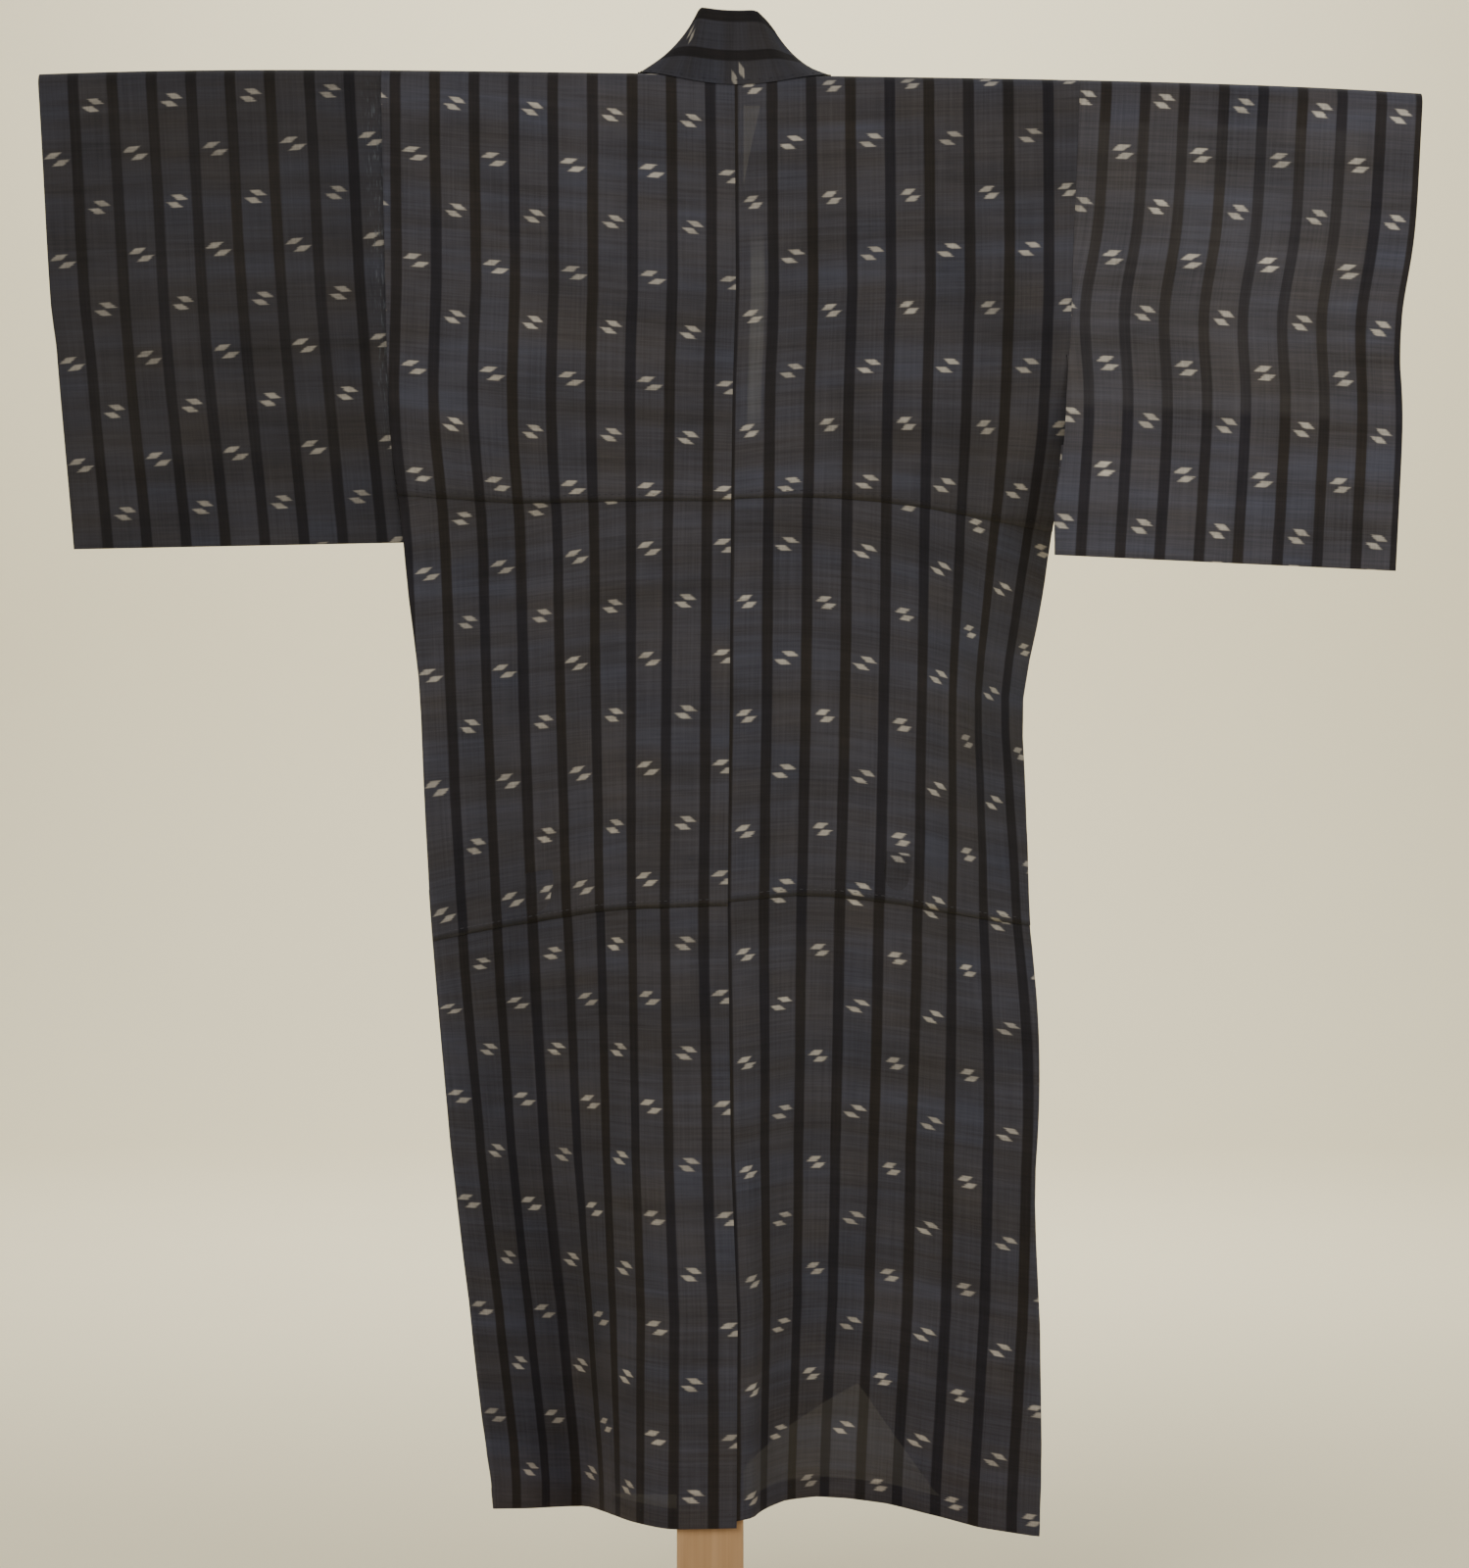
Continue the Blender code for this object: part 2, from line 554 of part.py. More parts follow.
def neck_line(half):
    """The cloth's edge that half the collar is sewn to, from its end on the front to the centre back.

    Each entry is the edge point, the cloth's outward normal there and the direction the collar takes from it."""
    sign = SIDE[half]
    line = []
    front = [QUARTER_TURN * j / ARC_ROWS for j in range(1, ARC_ROWS + 1)] + [d for d in FRONT_ROWS if d <= COLLAR_END]
    for down in reversed(front):
        x = collar_seam_x(half, down)
        turn = min(down / FOLD_RADIUS, math.pi / 2)
        slope = COLLAR_SLOPE + 2 * COLLAR_CURVE * down
        lean = math.hypot(1.0, slope)
        flat = float(eased(QUARTER_TURN, COLLAR_FLAT_FROM, down))
        across = SHOULDER_LEAN.across + (1.0 / lean - SHOULDER_LEAN.across) * flat
        rise = SHOULDER_LEAN.rise + (slope / lean - SHOULDER_LEAN.rise) * flat
        point = front_point(half, x, down)
        free_x = x - sign * across * COLLAR_WIDTH
        higher = max(down - rise * COLLAR_WIDTH, QUARTER_TURN)
        forward = front_depth(half, free_x, higher) - point[1] if flat > 0 else 0.0
        aim = (-sign * across, forward / COLLAR_WIDTH + SHOULDER_LEAN.forward * (1.0 - flat), rise)
        line.append((point, (0.0, math.sin(turn), math.cos(turn)), aim))
    for i in range(NECK_COLUMNS, -1, -1):
        out = NECK_HALF_WIDTH * i / NECK_COLUMNS
        down = neck_row(out)
        turn = down / FOLD_RADIUS
        across, forward, rise = (float(from_rows(NECK_COLLAR, "out", part, out)) for part in CollarRow._fields[1:])
        point = back_section(half, [max(out, SEAM_GAP / 2)], down)[0]
        line.append((point, (0.0, -math.sin(turn), math.cos(turn)), (-sign * across, forward, rise)))
    return line


def collar(finish):
    """The collar band: it stands behind the neck, leans in over the shoulders and lies along both front edges."""
    left, right = neck_line("left"), neck_line("right")
    centre = [np.array(left[-1][0]), np.array(right[-1][0])]
    line = left[:-1] + [((centre[0] + centre[1]) / 2, left[-1][1], left[-1][2])] + right[-2::-1]
    edge = [np.array(entry[0], float) for entry in line]
    points = []
    for i, (point, normal, aim) in enumerate(line):
        along = edge[min(i + 1, len(edge) - 1)] - edge[max(i - 1, 0)]
        along /= np.linalg.norm(along)
        inward = np.cross(normal, along)
        inward /= np.linalg.norm(inward)
        aim = np.array(aim, float)
        aim /= np.linalg.norm(aim)
        across = np.cross(along, aim)
        across /= np.linalg.norm(across)
        if np.dot(inward, aim) < 0:
            inward = -inward
        turn_in = 1.0
        if 0 < i < len(edge) - 1:
            before = (edge[i] - edge[i - 1]) / np.linalg.norm(edge[i] - edge[i - 1])
            after = (edge[i + 1] - edge[i]) / np.linalg.norm(edge[i + 1] - edge[i])
            turn_in = math.sqrt((1.0 + float(np.dot(before, after))) / 2)
        away = (COLLAR_GAP + COLLAR_CLOTH / 2 * abs(float(np.dot(across, inward)))) / turn_in
        below_neck = edge[len(edge) // 2][2] - edge[i][2]
        lift = COLLAR_LIFT * (1.0 - float(eased(*COLLAR_LIFT_FADE, below_neck)))
        seam = edge[i] + inward * away + np.array(normal) * lift
        points.append([seam + aim * COLLAR_WIDTH * band / COLLAR_BANDS for band in range(COLLAR_BANDS + 1)])
    ordered = [column[band] for band in range(COLLAR_BANDS + 1) for column in points]
    faces = grid_faces(COLLAR_BANDS + 1, len(points))
    return cloth_wall("collar", ordered, faces, finish, wall=COLLAR_CLOTH)


def stand_bar(finish):
    """A round bar that bows down a little towards its ends."""
    points = []
    for i in range(BAR_SEGMENTS + 1):
        x = -BAR_HALF_LENGTH + 2 * BAR_HALF_LENGTH * i / BAR_SEGMENTS
        for k in range(BAR_SIDES):
            turn = 2 * math.pi * k / BAR_SIDES
            points.append((x, BAR_RADIUS * math.sin(turn), bar_z(x) + BAR_RADIUS * math.cos(turn)))
    faces = []
    for i in range(BAR_SEGMENTS):
        for k in range(BAR_SIDES):
            a, b = i * BAR_SIDES + k, i * BAR_SIDES + (k + 1) % BAR_SIDES
            faces.append((a, a + BAR_SIDES, b + BAR_SIDES, b))
    faces.append(tuple(range(BAR_SIDES)))
    last = BAR_SEGMENTS * BAR_SIDES
    faces.append(tuple(reversed(range(last, last + BAR_SIDES))))
    made = new_object("stand_bar", points, faces, finish)
    made.data.shade_smooth()
    made.data.set_sharp_from_angle(angle=math.radians(EDGE_DEGREES))
    return made


def block(name, low, high, finish, bevel):
    """A rectangular block with small bevels on its edges."""
    corners = [(x, y, z) for z in (low[2], high[2]) for y in (low[1], high[1]) for x in (low[0], high[0])]
    faces = [(0, 2, 3, 1), (4, 5, 7, 6), (0, 1, 5, 4), (2, 6, 7, 3), (0, 4, 6, 2), (1, 3, 7, 5)]
    made = new_object(name, corners, faces, finish)
    edge = made.modifiers.new("edges", "BEVEL")
    edge.width = bevel
    edge.segments = 2
    edge.limit_method = "ANGLE"
    return made


def stand(finish):
    """The base plate, the post that stands on it, and the bar in the post's saddle."""
    width, depth, height = BASE_SIZE
    block("stand_base", (-width / 2, -depth / 2, 0.0), (width / 2, depth / 2, height), finish, BASE_EDGE_BEVEL)
    middle = (POST_LEFT + POST_RIGHT) / 2
    post = block(
        "stand_post",
        (POST_LEFT, -POST_DEPTH / 2, height + SEAT_GAP),
        (POST_RIGHT, POST_DEPTH / 2, bar_z(middle) - SADDLE_DROP),
        finish,
        POST_EDGE_BEVEL,
    )
    bpy.ops.mesh.primitive_cylinder_add(
        vertices=32, radius=BAR_RADIUS + SEAT_GAP, depth=SADDLE_CUT, location=(middle, 0.0, bar_z(middle))
    )
    cutter = bpy.context.object
    cutter.name = "saddle_cutter"
    cutter.rotation_euler = (0.0, math.radians(90) + SHOULDER_TILT, 0.0)
    cutter.hide_render = True
    cutter.display_type = "WIRE"
    saddle = post.modifiers.new("saddle", "BOOLEAN")
    saddle.operation = "DIFFERENCE"
    saddle.object = cutter
    stand_bar(finish)


def main():
    for old in list(bpy.data.objects):
        bpy.data.objects.remove(old)
    cloth = material("striped_cloth", (0.045, 0.045, 0.055), 0.85)
    wood = material("stand_wood", (0.50, 0.31, 0.17), 0.55)
    stand(wood)
    for half in ("left", "right"):
        back_panel(half, cloth)
        front_panel(half, cloth)
        sleeve(half, cloth)
        overlap_panel(half, cloth)
    collar(cloth)


main()
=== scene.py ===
import math

import bmesh
import bpy
import numpy as np
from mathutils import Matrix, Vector


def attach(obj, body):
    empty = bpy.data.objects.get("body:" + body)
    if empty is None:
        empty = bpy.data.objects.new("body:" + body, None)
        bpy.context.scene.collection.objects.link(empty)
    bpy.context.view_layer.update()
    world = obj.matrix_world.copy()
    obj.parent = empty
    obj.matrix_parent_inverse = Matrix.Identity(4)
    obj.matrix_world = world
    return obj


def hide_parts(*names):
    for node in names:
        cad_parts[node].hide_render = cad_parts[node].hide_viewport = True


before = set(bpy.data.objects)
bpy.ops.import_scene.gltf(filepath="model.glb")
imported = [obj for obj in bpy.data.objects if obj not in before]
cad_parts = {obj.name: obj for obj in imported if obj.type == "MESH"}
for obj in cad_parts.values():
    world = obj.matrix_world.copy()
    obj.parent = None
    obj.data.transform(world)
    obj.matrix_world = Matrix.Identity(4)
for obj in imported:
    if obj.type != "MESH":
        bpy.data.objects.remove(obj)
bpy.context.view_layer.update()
print("frame is in, with", len(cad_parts), "nodes")

# Everything is in metres. "down" is measured along the cloth from the top of the shoulder,
# "out" from the centre seam to the side, and the back of the kimono looks towards -Y.
hang = {
    "shoulderHeight": 1.4204,
    "shoulderTilt": 0.0141,
    "shoulderDroop": 0.0563,
    "wall": 0.0012,          # of the rigid cloth in the frame
    "foldRadius": 0.0144,    # of the cloth over the bar
}
quarterTurn = hang["foldRadius"] * math.pi / 2
sideOf = {"left": -1.0, "right": 1.0}


def eased(low, high, value):
    t = np.clip((np.asarray(value, float) - low) / (high - low), 0.0, 1.0)
    return t * t * (3.0 - 2.0 * t)


def ramp(low, high, value):
    return np.clip((np.asarray(value, float) - low) / (high - low), 0.0, 1.0)


def column(table, key, value):
    # reads a small table, straight between its rows; the first column is the place
    return np.interp(value, [row[0] for row in table], [row[key] for row in table])


def barZ(x):
    top = hang["shoulderHeight"] - hang["shoulderTilt"] * x - hang["shoulderDroop"] * x**4
    return top - hang["wall"] / 2 - hang["foldRadius"]


def overBar(x, down, side):
    # depth and height of cloth over the bar, at the back (-1) or the front (1)
    radius = hang["foldRadius"]
    angle = np.minimum(down / radius, math.pi / 2)
    height = barZ(x) + radius * np.cos(angle) - np.maximum(down - quarterTurn, 0.0)
    return side * radius * np.sin(angle), height


# the back
back = {
    "length": 1.295,
    "neckHalfWidth": 0.0855,
    "neckDip": 0.018,
    "armholeEnd": 0.28,
    "sideSeamStart": 0.43,
    "tuckLift": 0.0009,      # how far the cloth over a tuck stands out
    # the fold behind a tuck's edge, up and down again: share of its depth, of the hidden cloth, of the lift
    "tuckFold": (
        (0.02, 0.01, 0.72), (0.5, 0.25, 0.66), (1.0, 0.49, 0.60), (1.0, 0.51, 0.34), (0.5, 0.75, 0.30),
    ),
    "postPush": 0.004,
    "pushSpan": (0.6, 1.2),
    "cell": 0.006,           # of the mesh
    "columns": 39,
    "neckColumns": 14,
    "seamStart": 0.00012,    # from the centre seam to the first column
    "turnRows": 8,           # over each side of the bar
    "sectionSteps": 160,
    "soften": (-0.035, 0.0, 0.035),
    # down, left half's width, right half's width, the centre seam's x
    "widths": (
        (0.0, 0.3176, 0.3108),
        (0.20, 0.3148, 0.3012),
        (0.29, 0.3095, 0.3018),
        (0.40, 0.309, 0.306),
        (0.48, 0.305, 0.309),
        (0.55, 0.297, 0.308),
        (0.70, 0.299, 0.296),
        (1.00, 0.299, 0.289),
        (1.25, 0.300, 0.307),
        (1.295, 0.294, 0.306),
    ),
    "centreSeam": (
        (0.0, 0.0021), (0.20, 0.0034), (0.29, 0.0005), (0.40, -0.001), (0.55, -0.002),
        (0.75, -0.004), (0.97, -0.001), (1.11, 0.005), (1.295, 0.004),
    ),
    # out, then how many degrees the cloth turns away at each of the levels
    "levels": (0.0, 0.28, 0.40, 0.55, 0.76, 0.97, 1.11, 1.27),
    "turnsLeft": (
        (0.000, 0, 0, 0, 0, 0, 0, 0, 0),
        (0.046, 0, 0, 0, 0, 2, 2, 1, 0),
        (0.060, 0, 0, 18, 22, 32, 34, 26, 20),
        (0.078, 0, 0, 20, 24, 34, 34, 32, 36),
        (0.113, 0, 0, 20, 26, 33, 40, 42, 55),
        (0.149, 0, 0, 18, 20, 28, 38, 52, 67),
        (0.184, 0, 0, 14, 18, 26, 36, 50, 52),
        (0.196, 0, 0, 0, 0, 0, 0, 0, 0),
        (0.208, 0, 0, -14, -18, -28, -38, -38, -44),
        (0.255, 0, 0, -22, -28, -30, -40, -40, -44),
        (0.305, 0, 0, -16, -20, -26, -28, -36, -40),
    ),
    "turnsRight": (
        (0.000, 0, 0, 0, 0, 0, 0, 0, 0),
        (0.010, 0, 0, 0, 0, 2, 4, 4, 4),
        (0.019, 0, 0, 0, 0, 12, 32, 54, 66),
        (0.030, 0, 0, 2, 2, 16, 34, 50, 58),
        (0.048, 0, 0, 4, 5, 20, 33, 42, 45),
        (0.084, 0, 0, 0, 0, 14, 15, 20, 30),
        (0.120, 0, 0, 0, 12, 0, 14, 18, 20),
        (0.155, 0, 0, 8, 4, 0, 12, 8, 12),
        (0.190, 0, 0, 24, 36, 28, 10, 8, -4),
        (0.226, 0, 0, 26, 50, 32, -8, -14, -22),
        (0.262, 0, 0, 24, 44, 24, -16, -14, -12),
        (0.305, 0, 0, 24, 48, 30, -16, -10, -8),
    ),
    # out, the hem's height on the left half, and on the right half
    "hem": (
        (0.000, 0.1127, 0.1190),
        (0.030, 0.1120, 0.1245),
        (0.062, 0.1114, 0.1296),
        (0.097, 0.1125, 0.1291),
        (0.130, 0.1127, 0.1246),
        (0.165, 0.1110, 0.1184),
        (0.200, 0.1105, 0.1096),
        (0.250, 0.1160, 0.1000),
        (0.303, 0.1230, 0.0938),
    ),
}
halfColumn = {"left": 1, "right": 2}


def backWidth(half, down):
    # rounded off between the table's rows
    levels = [np.clip(down + d, 0.0, back["length"]) for d in back["soften"]]
    near = [column(back["widths"], halfColumn[half], level) for level in levels]
    return (near[0] + 2 * near[1] + near[2]) / 4


def backTurn(half, out, down):
    rows = back["turnsLeft" if half == "left" else "turnsRight"]
    near = [[np.interp(down + d, back["levels"], row[1:]) for row in rows] for d in back["soften"]]
    atLevel = [(a + 2 * b + c) / 4 for a, b, c in zip(*near)]
    return np.radians(np.interp(out, [row[0] for row in rows], atLevel))


def backSection(half, outs, down):
    # points of the back at one distance down, kept to the cloth's length across
    outs = np.asarray(outs, float)
    fine = np.linspace(0.0, float(backWidth(half, down)), back["sectionSteps"])
    turn = backTurn(half, (fine[1:] + fine[:-1]) / 2, down)
    step = fine[1] - fine[0]
    alongX = np.concatenate([[0.0], np.cumsum(np.cos(turn) * step)])
    alongY = np.concatenate([[0.0], np.cumsum(np.sin(turn) * step)])
    x = column(back["centreSeam"], 1, down) + sideOf[half] * np.interp(outs, fine, alongX)
    depth = np.interp(outs, fine, alongY) - back["postPush"] * eased(*back["pushSpan"], down)
    y, z = overBar(x, down, -1.0)
    if down > quarterTurn:
        hem = column(back["hem"], halfColumn[half], outs)
        z = barZ(x) + (hem - barZ(x)) * (down - quarterTurn) / (back["length"] - quarterTurn)
    y = y + depth * eased(0.0, quarterTurn, down)
    return np.stack([x, y + 0.0 * x, z + 0.0 * x], -1)


# the back's side edges and its depth, worked out once on a grid and read from it below
levelStep = 0.005
levelList = np.arange(0.0, back["length"] + levelStep, levelStep)
levelList[-1] = back["length"]
sideTable = {
    half: np.array([backSection(half, [backWidth(half, d)], d)[0] for d in levelList]) for half in sideOf
}
gridX = np.linspace(-0.36, 0.36, 361)  # every 2 mm, a little wider than the back hangs


def depthRow(down):
    points = [backSection(half, np.linspace(0.001, backWidth(half, down), 80), down) for half in sideOf]
    points = np.concatenate([points[0][::-1], points[1]])
    return np.interp(gridX, points[:, 0], points[:, 1])


depthGrid = np.array([depthRow(d) for d in levelList])


def backDepthAt(x, down):
    row = np.clip(np.asarray(down, float) / levelStep, 0.0, len(levelList) - 1.001)
    col = np.clip((x - gridX[0]) / (gridX[1] - gridX[0]), 0.0, len(gridX) - 1.001)
    r, c = row.astype(int), col.astype(int)
    fr, fc = row - r, col - c
    top = depthGrid[r, c] * (1 - fc) + depthGrid[r, c + 1] * fc
    low = depthGrid[r + 1, c] * (1 - fc) + depthGrid[r + 1, c + 1] * fc
    return top * (1 - fr) + low * fr


# the fronts
fronts = {
    "swing": 0.078,          # how far they hang out in front of the bar, and over which fall
    "swingSpan": (0.05, 1.2),
    "reach": 0.14,           # from the side seam to where they hang free of it
    "steepClearance": 0.004,
    "steepSpan": (0.30, 0.45),
    "foldClearance": 0.008,
    "foldSpan": (0.3, 0.7),
    "crossingRun": 0.05,
    "crossingMargin": 0.008,
    "layerGap": 0.008,       # between the two fronts where they cross
    "layerSpan": (0.02, 0.20),
    "seamGap": 0.0024,
    "halfSeam": 0.00015,     # from the line of a seam to the cloth on either side of it
    "hemHeight": 0.118,
    "hemRun": 0.16,
    "overlapStart": 0.23,
    "collarEnd": 0.63,
    "collarWidth": 0.064,
    "collarSlope": 0.054,
    "collarCurve": 0.389,
    "seamHem": {"left": 0.010, "right": 0.035},
    "edgeHem": {"left": 0.158, "right": -0.110},
    # x, how far the hem has risen there
    "riseLeft": (
        (-0.005, 0.0), (0.015, 0.030), (0.050, 0.062), (0.087, 0.087), (0.118, 0.104), (0.160, 0.122),
    ),
    "riseRight": (
        (-0.110, 0.185), (0.050, 0.152), (0.118, 0.104), (0.144, 0.068), (0.167, 0.040), (0.185, 0.020),
        (0.212, 0.0),
    ),
}


def frontSideEdge(half, down):
    x = np.interp(down, levelList, sideTable[half][:, 0])
    y = np.interp(down, levelList, sideTable[half][:, 1])
    free = overBar(x, np.asarray(down, float), 1.0)[0]
    closing = eased(back["armholeEnd"], back["sideSeamStart"], down)
    return x, free + (y + fronts["seamGap"] - free) * closing


def frontHeight(half, x, down):
    table = fronts["riseLeft" if half == "left" else "riseRight"]
    edgeX = sideTable[half][-1, 0]
    sideHem = back["hem"][-1][halfColumn[half]]
    fromSide = sideOf[half] * (edgeX - x)
    level = sideHem + (fronts["hemHeight"] - sideHem) * eased(0.0, fronts["hemRun"], fromSide)
    hem = level + column(table, 1, x)
    return barZ(x) + (hem - barZ(x)) * (down - quarterTurn) / (back["length"] - quarterTurn)


def collarSeamX(half, down):
    reach = back["neckHalfWidth"] - fronts["collarSlope"] * down - fronts["collarCurve"] * down**2
    return sideOf[half] * reach + back["centreSeam"][0][1]


def overlapEdgeX(half, down):
    collarEnd = fronts["collarEnd"]
    start = collarSeamX(half, collarEnd)
    share = (down - collarEnd) / (back["length"] - collarEnd)
    below = start + (fronts["edgeHem"][half] - start) * share
    return np.where(down <= collarEnd, collarSeamX(half, np.minimum(down, collarEnd)), below)


def frontInnerX(half, down):
    if down <= fronts["overlapStart"]:
        return collarSeamX(half, down)
    share = (down - fronts["overlapStart"]) / (back["length"] - fronts["overlapStart"])
    start = collarSeamX(half, fronts["overlapStart"])
    return start + (fronts["seamHem"][half] - start) * share


def loneFrontDepth(half, x, down, fall):
    middle = hang["foldRadius"] + fronts["swing"] * eased(*fronts["swingSpan"], fall)
    edgeX, edgeY = frontSideEdge(half, down)
    inward = sideOf[half] * (edgeX - x)
    swung = edgeY + (middle - edgeY) * eased(0.0, fronts["reach"], inward)
    steep = fronts["steepClearance"] * eased(0.0, fronts["reach"] / 6, inward)
    folded = fronts["foldClearance"] * eased(0.0, fronts["reach"] / 2, inward)
    clear = backDepthAt(x, fall) + fronts["seamGap"]
    clear = clear + steep * eased(*fronts["steepSpan"], fall)
    clear = clear + folded * eased(*fronts["foldSpan"], fall)
    return np.maximum(swung, clear)


def frontDepth(half, x, down):
    if down < quarterTurn:
        return overBar(x, down, 1.0)[0] + 0.0 * x
    fall = quarterTurn + barZ(x) - frontHeight(half, x, down)
    own = loneFrontDepth(half, x, down, fall)
    if half == "right":
        return own
    # the left front lies over the right one and its collar where they cross
    rise = column(fronts["riseRight"], 1, x)
    rightDown = fall * back["length"] / (back["length"] - rise)
    run = fronts["crossingRun"]
    band = fronts["collarWidth"] * (1.0 - ramp(fronts["collarEnd"], fronts["collarEnd"] + 2 * run, rightDown))
    underEdge = overlapEdgeX("right", rightDown) - band
    over = eased(underEdge - run, underEdge - fronts["crossingMargin"], x)
    layer = fronts["layerGap"] * eased(*fronts["layerSpan"], fall)
    return own + over * np.maximum(loneFrontDepth("right", x, fall, fall) + layer - own, 0.0)


def frontPoints(half, x, down):
    x = np.asarray(x, float)
    if down < quarterTurn:
        y, z = overBar(x, down, 1.0)
    else:
        y, z = frontDepth(half, x, down), frontHeight(half, x, down)
    return np.stack([x, y + 0.0 * x, z + 0.0 * x], -1)


# cloth as grids: place is rows x columns x 3, and across and along are metres of cloth for its pattern
seams = {
    "turnGap": 0.0006,       # between a cloth and its own turned-in edge
    "underGap": 0.0012,      # between a cloth and the next one's allowance behind it
    "underSteps": (0.0, 0.0003, 0.004, 0.008),
    "onFace": 0.0001,        # how far a row of stitches stands off the cloth
}


def faceOut(place, outward):
    # unit normals of a grid, on the side that outward points to
    normal = np.cross(np.gradient(place, axis=0), np.gradient(place, axis=1))
    normal /= np.maximum(np.linalg.norm(normal, axis=-1, keepdims=True), 1e-12)
    if (normal @ np.asarray(outward, float)).mean() < 0:
        normal = -normal
    return normal


def unit(vectors):
    return vectors / np.maximum(np.linalg.norm(vectors, axis=-1, keepdims=True), 1e-12)


def flipped(grid, edge):
    # so that the edge in question comes last along the first axis
    if edge in ("columnEnd", "columnStart"):
        grid = [np.swapaxes(part, 0, 1) for part in grid]
    if edge in ("rowStart", "columnStart"):
        grid = [part[::-1] for part in grid]
    return grid


def flippedBack(grid, edge):
    if edge in ("rowStart", "columnStart"):
        grid = [part[::-1] for part in grid]
    if edge in ("columnEnd", "columnStart"):
        grid = [np.swapaxes(part, 0, 1) for part in grid]
    return grid


def rolled(edge, ahead, normal):
    # the two rows where a turned hem rolls over
    gap = seams["turnGap"]
    return [edge + ahead * gap * 0.5 - normal * gap * depth for depth in (0.2, 0.8)]


def turnedIn(grid, edge, count):
    # a narrow hem: the edge rolls over and its last rows lie again a little way inside
    gap = seams["turnGap"]
    place, across, along, normal = flipped(grid, edge)
    rows = rolled(place[-1], unit(place[-1] - place[-2]), normal[-1])
    sources = [-1, -1]
    for k in range(count + 1):
        rows.append(place[-1 - k] - normal[-1 - k] * gap)
        sources.append(-1 - k)
    place = np.concatenate([place, rows])
    moreAcross = [2 * across[-1] - across[k] if edge.startswith("column") else across[k] for k in sources]
    moreAlong = [2 * along[-1] - along[k] if edge.startswith("row") else along[k] for k in sources]
    across = np.concatenate([across, moreAcross])
    along = np.concatenate([along, moreAlong])
    normal = np.concatenate([normal, [normal[k] for k in sources]])
    return flippedBack([place, across, along, normal], edge)


def runUnder(grid, edge):
    # a seam allowance that goes on behind the next piece of cloth
    gap, steps = seams["underGap"], seams["underSteps"]
    place, across, along, normal = flipped(grid, edge)
    ahead = unit(place[-1] - place[-2])
    rows, moreAcross = [], []
    for k, step in enumerate(steps):
        sink = gap * (0.45 if k == 0 else 1.0)
        rows.append(place[-1] + ahead * step - normal[-1] * sink)
        grow = (step + 1e-5 * k) * np.sign(across[-1] - across[-2])
        moreAcross.append(across[-1] + grow)
    place = np.concatenate([place, rows])
    across = np.concatenate([across, moreAcross])
    along = np.concatenate([along, [along[-1]] * len(steps)])
    normal = np.concatenate([normal, [normal[-1]] * len(steps)])
    return flippedBack([place, across, along, normal], edge)


def clothObject(name, grids, finish, flips):
    # one mesh of all grids, welded where they share an edge, with its pattern in a UV map in metres
    points, quads, spots = [], [], []
    first = 0
    for (place, across, along, _), flip in zip(grids, flips):
        rows, columns = across.shape
        index = first + np.arange(rows * columns).reshape(rows, columns)
        corners = [index[:-1, :-1], index[1:, :-1], index[1:, 1:], index[:-1, 1:]]
        if flip:
            corners = corners[::-1]
        quads.append(np.stack(corners, -1).reshape(-1, 4))
        points.append(place.reshape(-1, 3))
        spots.append(np.stack([across, along], -1).reshape(-1, 2))
        first += rows * columns
    points, quads, spots = np.concatenate(points), np.concatenate(quads), np.concatenate(spots)
    mesh = bpy.data.meshes.new(name)
    mesh.from_pydata(points.tolist(), [], quads.tolist())
    uvMap = mesh.uv_layers.new(name="cloth")
    uvMap.data.foreach_set("uv", spots[quads.reshape(-1)].astype(np.float32).reshape(-1))
    mesh.materials.append(finish)
    work = bmesh.new()
    work.from_mesh(mesh)
    bmesh.ops.remove_doubles(work, verts=work.verts, dist=2e-6)
    bmesh.ops.dissolve_degenerate(work, edges=work.edges, dist=1e-7)
    work.to_mesh(mesh)
    work.free()
    mesh.shade_smooth()
    made = bpy.data.objects.new(name, mesh)
    bpy.context.scene.collection.objects.link(made)
    return made


def softCreases(across, down, creases, drift=0.0):
    # troughs and ridges given one by one: where each runs from and to, its half width and its depth
    relief = np.zeros(across.shape)
    for fromU, fromV, toU, toV, width, depth in creases:
        line = np.array([toU - fromU, toV - fromV])
        length = float(np.hypot(*line))
        line = line / length
        alongLine = (across - fromU) * line[0] + (down - fromV) * line[1]
        bend = 0.12 * width * np.sin(alongLine * 37.0 + drift + fromV * 50.0)
        off = -(across - fromU) * line[1] + (down - fromV) * line[0] + bend
        fade = eased(-0.25 * length, 0.2 * length, alongLine)
        fade = fade * (1.0 - eased(0.8 * length, 1.25 * length, alongLine))
        relief += depth * np.exp(-((off / width) ** 2)) * fade
    return relief


def slowRipple(across, down, size, phase):
    # barely uneven cloth, a few tenths of a millimetre
    first = np.sin(across * 61.0 + 1.7 * np.sin(down * 9.0 + phase) + phase)
    second = np.sin(down * 23.0 + 2.1 * np.sin(across * 17.0 - phase))
    third = np.sin(across * 133.0 - down * 31.0 + 3.0 * phase)
    return size * (0.6 * first + 0.3 * second + 0.25 * third)


